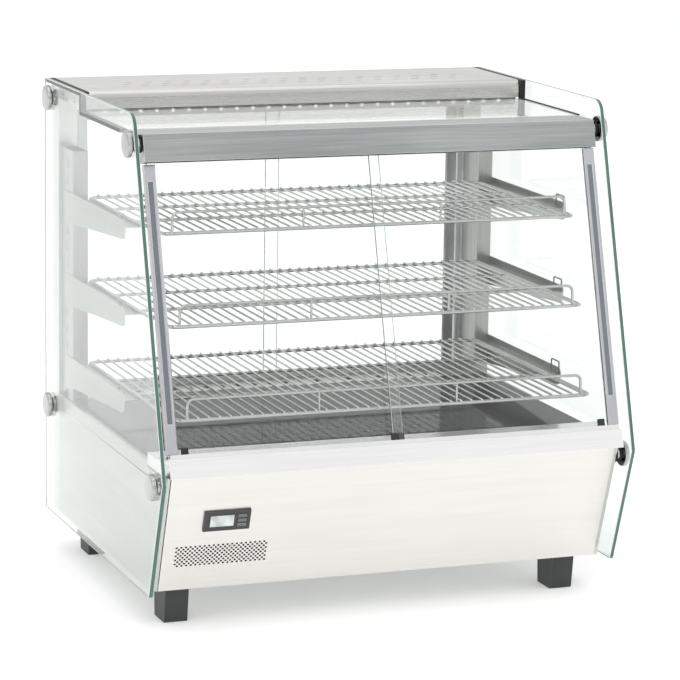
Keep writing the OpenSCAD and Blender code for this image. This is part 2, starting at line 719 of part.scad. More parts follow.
fan_y1 = rear_panel_y - sheet_t - 0.2;
fan_y0 = fan_y1 - 25;
fan_pin_r = 2;
module fan_frame() {
    color(black) {
        difference() {
            box(fan_x - fan_size / 2, fan_x + fan_size / 2, fan_y0, fan_y1, fan_z - fan_size / 2, fan_z + fan_size / 2);
            rod_y(fan_size / 2 - 2.5, fan_x, fan_y0 - 1, fan_y1 + 1, fan_z);
        }
        rod_y(15, fan_x, fan_y0, fan_y0 + 3, fan_z);
        rod_y(fan_pin_r, fan_x, fan_y0 + 2, fan_y0 + 19, fan_z);
        for (a = [45:90:315]) translate([fan_x, fan_y0 + 1.5, fan_z]) rotate([0, a, 0])
            translate([fan_size / 4 + 6, 0, 0]) cube([fan_size / 2 - 10, 3, 5], center = true);
    }
}
module fan_rotor() {
    tip = fan_size / 2 - 4;
    hub = 14;
    color(charcoal) translate([fan_x, fan_y0 + 4, fan_z]) rotate([-90, 0, 0]) {
        difference() {
            union() {
                cylinder(r = hub, h = 18);
                for (a = [0:51.4286:359]) rotate([0, 0, a]) translate([hub - 2, 0, 9]) rotate([38, 0, 0])
                    translate([0, -9, -0.8]) cube([tip - hub, 18, 1.6]);
            }
            translate([0, 0, -1]) cylinder(r = fan_pin_r + 0.05, h = 17);
        }
    }
}

module water_tray() {
    x = tray_w / 2;
    y1 = rear_panel_y + 0.8;
    y0 = y1 - tray_len;
    color(steel) {
        difference() {
            box(-x, x, y0, y1, tray_z0, tray_z0 + tray_h);
            box(-x + tray_wall, x - tray_wall, y0 + tray_wall, y1 - tray_wall, tray_z0 + tray_wall, tray_z0 + tray_h + 1);
        }
        difference() {
            box(-x - 8, x + 8, y1 - eps, y1 + 1.2, tray_z0 - 7, tray_z0 + tray_h + 6);
            box(-18, 18, y1 - 1, y1 + 3, tray_z0 - 8, tray_z0 - 2.5);
        }
    }
}
module tray_guides() {
    x = tray_w / 2;
    y1 = rear_panel_y - sheet_t - 0.3;
    y0 = y1 - tray_len + 10;
    color(steel) for (side = [-1, 1]) mirrored(side) translate([0, y1, 0]) rotate([90, 0, 0])
        linear_extrude(y1 - y0) polygon(folded([
            [x - 10, tray_z0 - clearance], [x + 1.2, tray_z0 - clearance],
            [x + 1.2, deck_z - 1.6], [x + 14, deck_z - 1.6]
        ], -1));
}

module terminal_block() {
    color("ivory") difference() {
        box(230, 290, 150, 178, base_floor_z, base_floor_z + 22);
        for (x = [240, 260, 280]) rod_z(3, x, 164, base_floor_z + 6, base_floor_z + 30);
    }
}
module led_driver() {
    color("white") {
        box(60, 190, 120, 160, base_floor_z, base_floor_z + 26);
        for (x = [54, 190]) box(x, x + 6, 128, 152, base_floor_z, base_floor_z + 2);
    }
}

// ---- controls ---------------------------------------------------------------------------
lens_w = 33;
lens_h = 17;
lens_x = control_x - 7;
button_x = control_x + 20.5;
button_w = 12;
button_h = 4.4;
button_gap = 7;
bezel_t = 3;
module controller_case() {
    lower_plane() color(charcoal) difference() {
        union() {
            translate([control_x, panel_n - bezel_t / 2 - 0.05, control_s])
                cube([bezel_w, bezel_t, bezel_h], center = true);
            translate([control_x, panel_n + 20, control_s])
                cube([bezel_w - 6, 40 + 2 * bezel_t, bezel_h - 6], center = true);
        }
        translate([lens_x, panel_n - bezel_t, control_s]) cube([lens_w + 0.4, 4, lens_h + 0.4], center = true);
        for (k = [-1:1]) translate([button_x, panel_n, control_s + k * button_gap])
            cube([button_w + 0.7, 10, button_h + 0.7], center = true);
    }
}
module controller_lens() {
    lower_plane() color("gainsboro") translate([lens_x, panel_n - bezel_t + 1, control_s])
        cube([lens_w, 1.9, lens_h], center = true);
}
module button(k) {
    lower_plane() color("silver") translate([button_x, panel_n - 2.1, control_s + k * button_gap])
        cube([button_w, 4.2, button_h], center = true);
}

rocker_pin_r = 1.4;
module rocker_place(k) {
    translate([rocker_x + k * rocker_gap, rear_panel_y, rocker_z]) children();
}
module rocker_frames() {
    w = rocker_cut[0];
    h = rocker_cut[1];
    color(black) for (k = [0:1]) rocker_place(k) difference() {
        union() {
            translate([0, -8, 0]) cube([w, 16 + 2 * eps, h], center = true);
            translate([0, 1, 0]) cube([w + 4, 2, h + 4], center = true);
        }
        translate([0, -4, 0]) cube([w - 3, 20, h - 3], center = true);
        translate([-w, -4, 0]) rotate([0, 90, 0]) cylinder(r = rocker_pin_r + 0.06, h = 2 * w);
    }
}
// The rocker is a shallow V seen from the side. At rest its lower half is pressed in.
module rocker(k) {
    w = rocker_cut[0] - 3.8;
    half = rocker_cut[1] / 2 - 3;
    color("firebrick") rocker_place(k) translate([0, -4, 0]) {
        rotate([-11, 0, 0]) translate([-w / 2, 0, 0]) rotate([90, 0, 90]) linear_extrude(w)
            polygon([[-3, -3.5], [-3, 3.5], [5.4, half], [3.6, 0], [5.4, -half]]);
        rotate([0, 90, 0]) cylinder(r = rocker_pin_r, h = rocker_cut[0] - 0.4, center = true);
    }
}

module power_inlet() {
    w = inlet_cut[0];
    h = inlet_cut[1];
    color(black) translate([inlet_x, rear_panel_y, rocker_z]) {
        difference() {
            union() {
                translate([0, -12, 0]) cube([w, 24 + 2 * eps, h], center = true);
                translate([0, 1.2, 0]) cube([w + 12, 2.4, h + 6], center = true);
            }
            translate([0, -6, 0]) cube([24.4, 24, 16.4], center = true);
        }
        for (p = [[-7, -2], [7, -2], [0, 3]]) translate([p[0], -11, p[1]]) cube([2, 16, 4], center = true);
        translate([0, -20, 0]) cube([w, 4, h], center = true);
    }
}

bottom_pan();
base_side(-1);  // base_side_left
base_side(1);  // base_side_right
front_panel();
rear_panel();
front_sill();
deck_frame();
deck_plate();
rear_post(-1);  // rear_post_left
rear_post(1);  // rear_post_right
upright(-1);  // upright_left
upright(1);  // upright_right
canopy();
lamp_pan();
led_strip();
top_glass();
top_rail();
side_glass(-1);  // side_glass_left
side_glass(1);  // side_glass_right
gasket(-1);  // gasket_left
gasket(1);  // gasket_right
glass_bolts();
glass_bushes();
front_upper_track();
front_lower_track();
rear_upper_track();
rear_lower_track();
brackets(-1);  // brackets_left
brackets(1);  // brackets_right
front_door(-1);  // front_door_left
front_grip(-1);  // front_grip_left
front_glides(-1);  // front_glides_left
front_door(1);  // front_door_right
front_grip(1);  // front_grip_right
front_glides(1);  // front_glides_right
rear_door(-1);  // rear_door_left
rear_grip(-1);  // rear_grip_left
rear_door(1);  // rear_door_right
rear_grip(1);  // rear_grip_right
shelf(shelf_z1 + 2 * shelf_pitch);  // shelf_top
shelf(shelf_z1 + shelf_pitch);  // shelf_middle
shelf(shelf_z1);  // shelf_bottom
heater_element();
heater_clips();
fan_frame();
fan_rotor();
water_tray();
tray_guides();
terminal_block();
led_driver();
controller_case();
controller_lens();
button(1);  // button_up
button(-1);  // button_down
button(0);  // button_set
rocker_frames();
rocker(0);  // power_rocker
rocker(1);  // lamp_rocker
power_inlet();
feet();
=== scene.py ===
"""Looks of the countertop heated display case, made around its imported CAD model.

Each sub-assembly is a class that makes its pieces and dresses them in finishes. All sizes are in
metres, in the frame of the CAD model: X across, Y from front to rear, Z up.
"""
import sys
import json
import logging
import math
from dataclasses import dataclass, field
from enum import Enum
from typing import Any, Callable, Sequence

import bmesh
import bpy
from mathutils import Matrix, Vector


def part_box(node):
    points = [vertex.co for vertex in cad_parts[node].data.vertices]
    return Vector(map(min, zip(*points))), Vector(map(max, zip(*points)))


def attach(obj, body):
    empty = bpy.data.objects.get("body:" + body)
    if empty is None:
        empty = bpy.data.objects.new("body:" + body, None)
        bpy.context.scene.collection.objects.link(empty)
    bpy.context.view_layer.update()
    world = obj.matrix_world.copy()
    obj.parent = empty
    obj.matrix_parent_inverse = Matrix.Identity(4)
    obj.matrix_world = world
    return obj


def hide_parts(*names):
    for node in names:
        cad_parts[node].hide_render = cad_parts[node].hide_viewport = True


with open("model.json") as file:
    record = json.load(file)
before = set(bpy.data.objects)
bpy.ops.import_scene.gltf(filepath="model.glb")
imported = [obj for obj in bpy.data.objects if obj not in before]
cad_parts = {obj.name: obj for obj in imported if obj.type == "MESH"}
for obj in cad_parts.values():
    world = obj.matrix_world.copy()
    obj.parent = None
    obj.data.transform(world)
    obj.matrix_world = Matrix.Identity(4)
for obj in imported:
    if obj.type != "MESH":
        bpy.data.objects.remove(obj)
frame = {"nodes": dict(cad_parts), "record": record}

LOG = logging.getLogger("display_case")
MM = 0.001
MERGE_DISTANCE = 2e-6
GRAIN_DEPTH = 0.0002
GLASS_IOR = 1.47
# Noise scales of brushed metal, across the brushing and along it.
FINE_STREAKS, FINE_ALONG = 700.0, 9.0
BROAD_STREAKS, BROAD_ALONG = 90.0, 4.0
BEND_STEPS = 6
RECORD = frame["record"]
BODY_OF = {node: body for body, nodes in RECORD["behaviour"]["bodies"].items() for node in nodes}

Colour = tuple[float, float, float]
Point = tuple[float, float, float]


class Grain(Enum):
    """The way that a metal's brushing runs."""

    ACROSS = "x"
    DEEP = "y"
    UPRIGHT = "z"


class Side(Enum):
    """The left or right half of the case, seen from the front."""

    LEFT = "left"
    RIGHT = "right"


# ---- node trees ---------------------------------------------------------------------------------
class NodeSketch:
    """A node tree under construction, with short calls that add and join nodes."""

    def __init__(self, tree: bpy.types.NodeTree) -> None:
        """Keeps the tree.

        Args:
            tree: the node tree that grows.
        """
        self.tree = tree

    def add(self, kind: str, inputs: dict[Any, Any] | None = None, **settings: Any) -> bpy.types.Node:
        """Adds a node.

        Args:
            kind: the node's Blender type.
            inputs: socket name or index to a constant or to another node's output.
            **settings: properties of the node itself.

        Returns:
            The new node.
        """
        node = self.tree.nodes.new(kind)
        for key, value in settings.items():
            setattr(node, key, value)
        for key, value in (inputs or {}).items():
            self.feed(node.inputs[key], value)
        return node

    def feed(self, socket: bpy.types.NodeSocket, value: Any) -> None:
        """Links or sets one input socket.

        Args:
            socket: the input.
            value: a constant, or an output socket to link.
        """
        if isinstance(value, bpy.types.NodeSocket):
            self.tree.links.new(value, socket)
        else:
            socket.default_value = value

    def math(self, operation: str, first: Any, second: Any = 0.0, third: Any = 0.0, clamp: bool = False
             ) -> bpy.types.NodeSocket:
        """Adds a Math node of either kind of tree.

        Args:
            operation: the node's operation.
            first: the first value or socket.
            second: the second value or socket.
            third: the third value or socket, where the operation has one.
            clamp: whether the result is held between 0 and 1.

        Returns:
            The result's socket.
        """
        node = self.add("ShaderNodeMath", {0: first, 1: second, 2: third}, operation=operation,
                        use_clamp=clamp)
        return node.outputs[0]

    def times(self, vector: Any, factor: Any) -> bpy.types.NodeSocket:
        """The vector multiplied by factor, one number for each axis."""
        node = self.add("ShaderNodeVectorMath", {0: vector, 1: factor}, operation="MULTIPLY")
        return node.outputs[0]

    def noise(self, vector: Any, scale: Any, detail: float = 2.0) -> bpy.types.NodeSocket:
        """Adds a noise pattern.

        Args:
            vector: where it is read.
            scale: its scale, a number or a socket.
            detail: how many finer layers it has.

        Returns:
            The socket of its value, from 0 to 1.
        """
        node = self.add("ShaderNodeTexNoise", {"Vector": vector, "Scale": scale, "Detail": detail})
        return node.outputs["Fac"]

    def blend(self, share: Any, first: Any, second: Any) -> bpy.types.NodeSocket:
        """Adds a colour mix.

        Args:
            share: how much of the second colour shows.
            first: the first colour.
            second: the second colour.

        Returns:
            The mixed colour's socket.
        """
        node = self.add("ShaderNodeMix", data_type="RGBA")
        sockets = [s for s in node.inputs if s.enabled]
        for socket, value in zip(sockets, (share, first, second)):
            self.feed(socket, rgba(value) if isinstance(value, tuple) and len(value) == 3 else value)
        return next(s for s in node.outputs if s.enabled)

    def band(self, value: Any, low: float, high: float, to_low: float = 0.0, to_high: float = 1.0
             ) -> bpy.types.NodeSocket:
        """Maps value from low..high to to_low..to_high, held at both ends."""
        node = self.add("ShaderNodeMapRange", {0: value, 1: low, 2: high, 3: to_low, 4: to_high})
        return node.outputs[0]


def rgba(colour: Sequence[float]) -> tuple[float, float, float, float]:
    """The colour with full alpha."""
    return (colour[0], colour[1], colour[2], 1.0)


_GROUPS: dict[str, bpy.types.NodeTree] = {}


def shared_group(name: str, inputs: Sequence[tuple[str, str]], outputs: Sequence[tuple[str, str]],
                 fill: Callable[[NodeSketch, bpy.types.Node, bpy.types.Node], None]) -> bpy.types.NodeTree:
    """Makes a shader node group once, and gives it again later.

    Args:
        name: the group's name.
        inputs: (name, socket kind) of each input.
        outputs: (name, socket kind) of each output.
        fill: draws the inside, from the sketch, the input node and the output node.

    Returns:
        The group's tree.
    """
    if name not in _GROUPS:
        tree = bpy.data.node_groups.new(name, "ShaderNodeTree")
        for direction, sockets in (("INPUT", inputs), ("OUTPUT", outputs)):
            for label, kind in sockets:
                tree.interface.new_socket(name=label, in_out=direction, socket_type=kind)
        sketch = NodeSketch(tree)
        fill(sketch, sketch.add("NodeGroupInput"), sketch.add("NodeGroupOutput"))
        _GROUPS[name] = tree
    return _GROUPS[name]


def brushed_grain() -> bpy.types.NodeTree:
    """The fine and broad streaks of brushed sheet metal, as a colour, a roughness and a height.

    Returns:
        The tree.
    """

    def fill(sketch: NodeSketch, given: bpy.types.Node, result: bpy.types.Node) -> None:
        """Draws the streaks.

        Args:
            sketch: the group's sketch.
            given: the group's input node.
            result: the group's output node.
        """
        where = given.outputs["Vector"]
        fine = sketch.noise(sketch.times(where, given.outputs["Fine"]), 1.0, 2.0)
        broad = sketch.noise(sketch.times(where, given.outputs["Broad"]), 1.0, 3.0)
        cloud = sketch.noise(where, 5.0, 2.0)
        streak = sketch.math("MULTIPLY_ADD", broad, 0.9, -0.45)
        thin = sketch.math("MULTIPLY_ADD", fine, 0.7, -0.35)
        haze = sketch.math("MULTIPLY_ADD", cloud, 0.6, 0.2)
        share = sketch.math("ADD", sketch.math("ADD", streak, thin), haze, clamp=True)
        shade = sketch.blend(share, given.outputs["Dark"], given.outputs["Pale"])
        sketch.feed(result.inputs["Colour"], shade)
        swing = sketch.math("MULTIPLY", sketch.math("SUBTRACT", share, 0.5), given.outputs["Spread"])
        sketch.feed(result.inputs["Roughness"], sketch.math("SUBTRACT", given.outputs["Roughness"], swing))
        sketch.feed(result.inputs["Height"], fine)

    return shared_group(
        "Brushed grain",
        [("Vector", "NodeSocketVector"), ("Fine", "NodeSocketVector"), ("Broad", "NodeSocketVector"),
         ("Pale", "NodeSocketColor"), ("Dark", "NodeSocketColor"),
         ("Roughness", "NodeSocketFloat"), ("Spread", "NodeSocketFloat")],
        [("Colour", "NodeSocketColor"), ("Roughness", "NodeSocketFloat"), ("Height", "NodeSocketFloat")],
        fill)


def moulded_grain() -> bpy.types.NodeTree:
    """The spark-eroded grain of a moulded plastic or rubber, with a slight change of shade.

    Returns:
        The tree.
    """

    def fill(sketch: NodeSketch, given: bpy.types.Node, result: bpy.types.Node) -> None:
        """Draws the grain.

        Args:
            sketch: the group's sketch.
            given: the group's input node.
            result: the group's output node.
        """
        where = given.outputs["Vector"]
        grain = sketch.noise(where, given.outputs["Scale"], 3.0)
        patch = sketch.noise(where, 22.0, 2.0)
        shade = sketch.math("MULTIPLY", patch, 0.7)
        shade = sketch.math("ADD", shade, sketch.math("MULTIPLY", grain, 0.3), clamp=True)
        colour = sketch.blend(shade, given.outputs["Deep"], given.outputs["Worn"])
        sketch.feed(result.inputs["Colour"], colour)
        sketch.feed(result.inputs["Roughness"], sketch.math(
            "ADD", given.outputs["Roughness"], sketch.band(grain, 0.3, 0.7, -0.08, 0.08)))
        sketch.feed(result.inputs["Height"], grain)

    return shared_group(
        "Moulded grain",
        [("Vector", "NodeSocketVector"), ("Scale", "NodeSocketFloat"), ("Deep", "NodeSocketColor"),
         ("Worn", "NodeSocketColor"), ("Roughness", "NodeSocketFloat")],
        [("Colour", "NodeSocketColor"), ("Roughness", "NodeSocketFloat"), ("Height", "NodeSocketFloat")],
        fill)


def wiped_film() -> bpy.types.NodeTree:
    """The faint cloudy film that a cloth leaves on a polished surface, as a mask and a height.

    Returns:
        The tree.
    """

    def fill(sketch: NodeSketch, given: bpy.types.Node, result: bpy.types.Node) -> None:
        """Draws long soft arcs over small spots.

        Args:
            sketch: the group's sketch.
            given: the group's input node.
            result: the group's output node.
        """
        where = given.outputs["Vector"]
        arcs = sketch.noise(sketch.times(where, (3.0, 3.0, 9.0)), 1.0, 3.0)
        spots = sketch.noise(where, 160.0, 1.0)
        film = sketch.math("MULTIPLY", sketch.band(arcs, 0.45, 0.75),
                           sketch.band(spots, 0.35, 0.75, 0.4, 1.0))
        sketch.feed(result.inputs["Film"], film)
        sketch.feed(result.inputs["Height"], arcs)

    return shared_group(
        "Wiped film", [("Vector", "NodeSocketVector")],
        [("Film", "NodeSocketFloat"), ("Height", "NodeSocketFloat")], fill)


_MATERIALS: dict[str, bpy.types.Material] = {}


def material(name: str, paint: Callable[[NodeSketch, bpy.types.Node, bpy.types.NodeSocket], Any]
             ) -> bpy.types.Material:
    """Makes a material once, and gives it again later.

    Args:
        name: the material's name.
        paint: draws it, from the sketch, the Principled node and the Object coordinates. It may
            return another shader's socket for the output.

    Returns:
        The material.
    """
    if name not in _MATERIALS:
        made = bpy.data.materials.new(name)
        made.use_nodes = True
        made.node_tree.nodes.clear()
        sketch = NodeSketch(made.node_tree)
        shader = sketch.add("ShaderNodeBsdfPrincipled")
        where = sketch.add("ShaderNodeTexCoord").outputs["Object"]
        last = paint(sketch, shader, where)
        output = sketch.add("ShaderNodeOutputMaterial")
        sketch.feed(output.inputs["Surface"], last if last is not None else shader.outputs[0])
        _MATERIALS[name] = made
    return _MATERIALS[name]


def bumped(sketch: NodeSketch, shader: bpy.types.Node, height: bpy.types.NodeSocket,
           strength: float, distance: float) -> None:
    """Feeds a height to the shader's normal.

    Args:
        sketch: the material's sketch.
        shader: the Principled node.
        height: the height's socket.
        strength: the bump's strength.
        distance: the height of a full step, in metres.
    """
    node = sketch.add("ShaderNodeBump", {"Height": height, "Strength": strength, "Distance": distance})
    sketch.feed(shader.inputs["Normal"], node.outputs[0])


# ---- finishes -----------------------------------------------------------------------------------
@dataclass(frozen=True)
class Finish:
    """What a surface is made of. A finish has a second material for its worn or cut edges."""

    name: str

    def surface(self) -> bpy.types.Material:
        """The material of the faces."""
        raise NotImplementedError

    def edge(self) -> bpy.types.Material:
        """The material of the rounded edges."""
        return self.surface()


@dataclass(frozen=True)
class BrushedMetal(Finish):
    """Sheet metal with a brushed grain along one axis."""

    pale: Colour = (0.74, 0.74, 0.72)
    dark: Colour = (0.60, 0.60, 0.585)
    grain: Grain = Grain.ACROSS
    roughness: float = 0.32
    spread: float = 0.16
    relief: float = 0.06

    def _draw(self, name: str, lift: float, roughness: float) -> bpy.types.Material:
        """Makes the metal, with its colours lifted by a share towards white.

        Args:
            name: the material's name.
            lift: the share towards white.
            roughness: its roughness.

        Returns:
            The material.
        """

        def paint(sketch: NodeSketch, shader: bpy.types.Node, where: bpy.types.NodeSocket) -> None:
            """Draws the brushed metal.

            Args:
                sketch: the material's sketch.
                shader: the Principled node.
                where: the Object coordinates.
            """
            fine, broad = [FINE_STREAKS] * 3, [BROAD_STREAKS] * 3
            axis = "xyz".index(self.grain.value)
            fine[axis], broad[axis] = FINE_ALONG, BROAD_ALONG
            group = sketch.add("ShaderNodeGroup", node_tree=brushed_grain())
            colours = [tuple(c + (1.0 - c) * lift for c in given) for given in (self.pale, self.dark)]
            for key, value in {"Vector": where, "Fine": fine, "Broad": broad, "Pale": rgba(colours[0]),
                               "Dark": rgba(colours[1]), "Roughness": roughness,
                               "Spread": self.spread}.items():
                sketch.feed(group.inputs[key], value)
            shader.inputs["Metallic"].default_value = 1.0
            sketch.feed(shader.inputs["Base Color"], group.outputs["Colour"])
            sketch.feed(shader.inputs["Roughness"], group.outputs["Roughness"])
            bumped(sketch, shader, group.outputs["Height"], self.relief, GRAIN_DEPTH)

        return material(name, paint)

    def surface(self) -> bpy.types.Material:
        """The brushed faces."""
        return self._draw(self.name, 0.0, self.roughness)

    def edge(self) -> bpy.types.Material:
        """The brighter deburred edges."""
        return self._draw(f"{self.name} edge", 0.3, max(0.12, self.roughness - 0.1))


@dataclass(frozen=True)
class PolishedMetal(Finish):
    """Bright plated or polished metal under a faint wiped film."""

    colour: Colour = (0.78, 0.79, 0.80)
    roughness: float = 0.07

    def surface(self) -> bpy.types.Material:
        """The bright metal.

        Returns:
            The material.
        """

        def paint(sketch: NodeSketch, shader: bpy.types.Node, where: bpy.types.NodeSocket) -> None:
            """Draws the plated metal.

            Args:
                sketch: the material's sketch.
                shader: the Principled node.
                where: the Object coordinates.
            """
            group = sketch.add("ShaderNodeGroup", {"Vector": where}, node_tree=wiped_film())
            film = group.outputs["Film"]
            dull = tuple(c * 0.86 for c in self.colour)
            shader.inputs["Metallic"].default_value = 1.0
            sketch.feed(shader.inputs["Base Color"], sketch.blend(film, self.colour, dull))
            dulled = self.roughness + 0.14
            sketch.feed(shader.inputs["Roughness"], sketch.band(film, 0.0, 1.0, self.roughness, dulled))

        return material(self.name, paint)


@dataclass(frozen=True)
class ClearGlass(Finish):
    """Float glass. Light reaches what is behind it, and its cut edges show the glass's green."""

    tint: Colour = (0.955, 0.985, 0.972)
    rim: Colour = (0.13, 0.25, 0.21)
    rim_clear: float = 0.25

    def surface(self) -> bpy.types.Material:
        """The clear faces.

        Returns:
            The material.
        """

        def paint(sketch: NodeSketch, shader: bpy.types.Node, where: bpy.types.NodeSocket
                  ) -> bpy.types.NodeSocket:
            """Draws the pane, which lamps shine straight through.

            Args:
                sketch: the material's sketch.
                shader: the Principled node.
                where: the Object coordinates.

            Returns:
                The mixed shader's socket.
            """
            group = sketch.add("ShaderNodeGroup", {"Vector": where}, node_tree=wiped_film())
            cloudy = tuple(c * 0.97 for c in self.tint)
            sketch.feed(shader.inputs["Base Color"], sketch.blend(group.outputs["Film"], self.tint, cloudy))
            shader.inputs["Roughness"].default_value = 0.0
            shader.inputs["IOR"].default_value = GLASS_IOR
            shader.inputs["Metallic"].default_value = 0.0
            shader.inputs["Transmission Weight"].default_value = 1.0
            passed = rgba(tuple(c ** 0.5 for c in self.tint))
            clear = sketch.add("ShaderNodeBsdfTransparent", {"Color": passed})
            path = sketch.add("ShaderNodeLightPath")
            mixed = sketch.add("ShaderNodeMixShader", {
                0: path.outputs["Is Shadow Ray"], 1: shader.outputs[0], 2: clear.outputs[0]})
            return mixed.outputs[0]

        return material(self.name, paint)

    def edge(self) -> bpy.types.Material:
        """The polished green rim.

        Returns:
            The material.
        """

        def paint(sketch: NodeSketch, shader: bpy.types.Node, where: bpy.types.NodeSocket) -> None:
            """Draws the rim, with a band of darker green that wanders along it.

            Args:
                sketch: the material's sketch.
                shader: the Principled node.
                where: the Object coordinates.
            """
            drift = sketch.noise(where, 14.0, 2.0)
            deep = tuple(c * 0.62 for c in self.rim)
            sketch.feed(shader.inputs["Base Color"], sketch.blend(drift, deep, self.rim))
            sketch.feed(shader.inputs["Roughness"], sketch.band(drift, 0.3, 0.7, 0.06, 0.16))
            shader.inputs["IOR"].default_value = GLASS_IOR
            shader.inputs["Transmission Weight"].default_value = self.rim_clear

        return material(f"{self.name} rim", paint)

    def ground_edge_and_highlight(self) -> bpy.types.Material:
        """The pale ground line along each side of the rim: frosted, and lightened further as a painted
        highlight.

        Returns:
            The material.
        """

        def paint(sketch: NodeSketch, shader: bpy.types.Node, where: bpy.types.NodeSocket) -> None:
            """Draws the frosted line, made paler still as a painted highlight.

            Args:
                sketch: the material's sketch.
                shader: the Principled node.
                where: the Object coordinates.
            """
            frost = sketch.noise(where, 700.0, 2.0)
            # Pale green-white: the frost of the ground edge plus a painted highlight along it.
            pale = sketch.blend(frost, (0.62, 0.72, 0.67), (0.78, 0.85, 0.81))
            sketch.feed(shader.inputs["Base Color"], pale)
            sketch.feed(shader.inputs["Roughness"], sketch.band(frost, 0.3, 0.7, 0.28, 0.42))

        return material(f"{self.name} ground edge", paint)


@dataclass(frozen=True)
class Moulding(Finish):
    """Moulded plastic or rubber with a fine grain."""

    deep: Colour = (0.030, 0.031, 0.032)
    worn: Colour = (0.060, 0.062, 0.063)
    roughness: float = 0.5
    grain: float = 1400.0
    relief: float = 0.15
    shine: float = 1.45

    def _draw(self, name: str, gain: float, roughness: float) -> bpy.types.Material:
        """Makes the moulding, with its colours multiplied by gain.

        Args:
            name: the material's name.
            gain: what the colours are multiplied by.
            roughness: its roughness.

        Returns:
            The material.
        """

        def paint(sketch: NodeSketch, shader: bpy.types.Node, where: bpy.types.NodeSocket) -> None:
            """Draws the grained plastic.

            Args:
                sketch: the material's sketch.
                shader: the Principled node.
                where: the Object coordinates.
            """
            group = sketch.add("ShaderNodeGroup", node_tree=moulded_grain())
            colours = [tuple(min(1.0, c * gain) for c in given) for given in (self.deep, self.worn)]
            for key, value in {"Vector": where, "Scale": self.grain, "Deep": rgba(colours[0]),
                               "Worn": rgba(colours[1]), "Roughness": roughness}.items():
                sketch.feed(group.inputs[key], value)
            shader.inputs["IOR"].default_value = self.shine
            sketch.feed(shader.inputs["Base Color"], group.outputs["Colour"])
            sketch.feed(shader.inputs["Roughness"], group.outputs["Roughness"])
            if self.relief:
                bumped(sketch, shader, group.outputs["Height"], self.relief, GRAIN_DEPTH)

        return material(name, paint)

    def surface(self) -> bpy.types.Material:
        """The grained faces."""
        return self._draw(self.name, 1.0, self.roughness)

    def edge(self) -> bpy.types.Material:
        """The edges, rubbed smoother and a little paler."""
        return self._draw(f"{self.name} edge", 1.7, max(0.2, self.roughness - 0.15))


@dataclass(frozen=True)
class Lamp(Finish):
    """A frosted lens that glows."""

    glow: Colour = (1.0, 0.97, 0.90)
    strength: float = 1.3

    def surface(self) -> bpy.types.Material:
        """The glowing lens.

        Returns:
            The material.
        """

        def paint(sketch: NodeSketch, shader: bpy.types.Node, where: bpy.types.NodeSocket) -> None:
            """Draws the lens, brightest in its phosphor's grain.

            Args:
                sketch: the material's sketch.
                shader: the Principled node.
                where: the Object coordinates.
            """
            grain = sketch.noise(where, 900.0, 1.0)
            warm = tuple(c * 0.85 for c in self.glow)
            sketch.feed(shader.inputs["Base Color"], sketch.blend(grain, self.glow, warm))
            sketch.feed(shader.inputs["Emission Color"], sketch.blend(grain, warm, self.glow))
            shader.inputs["Emission Strength"].default_value = self.strength
            shader.inputs["Roughness"].default_value = 0.35

        return material(self.name, paint)


@dataclass(frozen=True)
class Window(Finish):
    """A pale display window behind a gloss lens. The unlit segment panel inside it is not drawn."""

    pale: Colour = (0.62, 0.66, 0.65)
    dim: Colour = (0.40, 0.44, 0.44)

    def surface(self) -> bpy.types.Material:
        """The window.

        Returns:
            The material.
        """

        def paint(sketch: NodeSketch, shader: bpy.types.Node, where: bpy.types.NodeSocket) -> None:
            """Draws the milky panel with a painted glow: a soft cloud of painted light in it.

            Args:
                sketch: the material's sketch.
                shader: the Principled node.
                where: the Object coordinates.
            """
            cloud = sketch.noise(where, 70.0, 2.0)
            shade = sketch.blend(sketch.band(cloud, 0.35, 0.65), self.dim, self.pale)
            sketch.feed(shader.inputs["Base Color"], shade)
            # The emission is a painted glow; the segment panel behind the lens is unlit.
            sketch.feed(shader.inputs["Emission Color"], shade)
            shader.inputs["Emission Strength"].default_value = 0.12
            sketch.feed(shader.inputs["Roughness"], sketch.band(cloud, 0.3, 0.7, 0.08, 0.16))
            shader.inputs["Coat Weight"].default_value = 0.5

        return material(self.name, paint)


SATIN_ACROSS = BrushedMetal("Satin steel across")
SATIN_UPRIGHT = BrushedMetal("Satin steel upright", pale=(0.76, 0.765, 0.745), dark=(0.66, 0.665, 0.645),
                             grain=Grain.UPRIGHT)
SATIN_DEEP = BrushedMetal("Satin steel front to rear", pale=(0.60, 0.62, 0.595), dark=(0.50, 0.52, 0.495),
                          grain=Grain.DEEP)
PANEL_STEEL = BrushedMetal("Panel steel", pale=(0.78, 0.77, 0.735), dark=(0.71, 0.70, 0.67), roughness=0.40,
                           spread=0.10, relief=0.04)
# The rail steel is darker than the other steel as a painted reflection of a dark surround in front of the
# case.
RAIL_STEEL = BrushedMetal("Rail steel", pale=(0.50, 0.515, 0.51), dark=(0.22, 0.235, 0.235), roughness=0.28,
                          spread=0.22, relief=0.10)
SILL_STEEL = BrushedMetal("Sill steel", pale=(0.90, 0.90, 0.90), dark=(0.78, 0.78, 0.78), roughness=0.24,
                          spread=0.12)
CANOPY_STEEL = BrushedMetal("Canopy steel", pale=(0.63, 0.625, 0.605), dark=(0.46, 0.455, 0.435),
                            roughness=0.28)
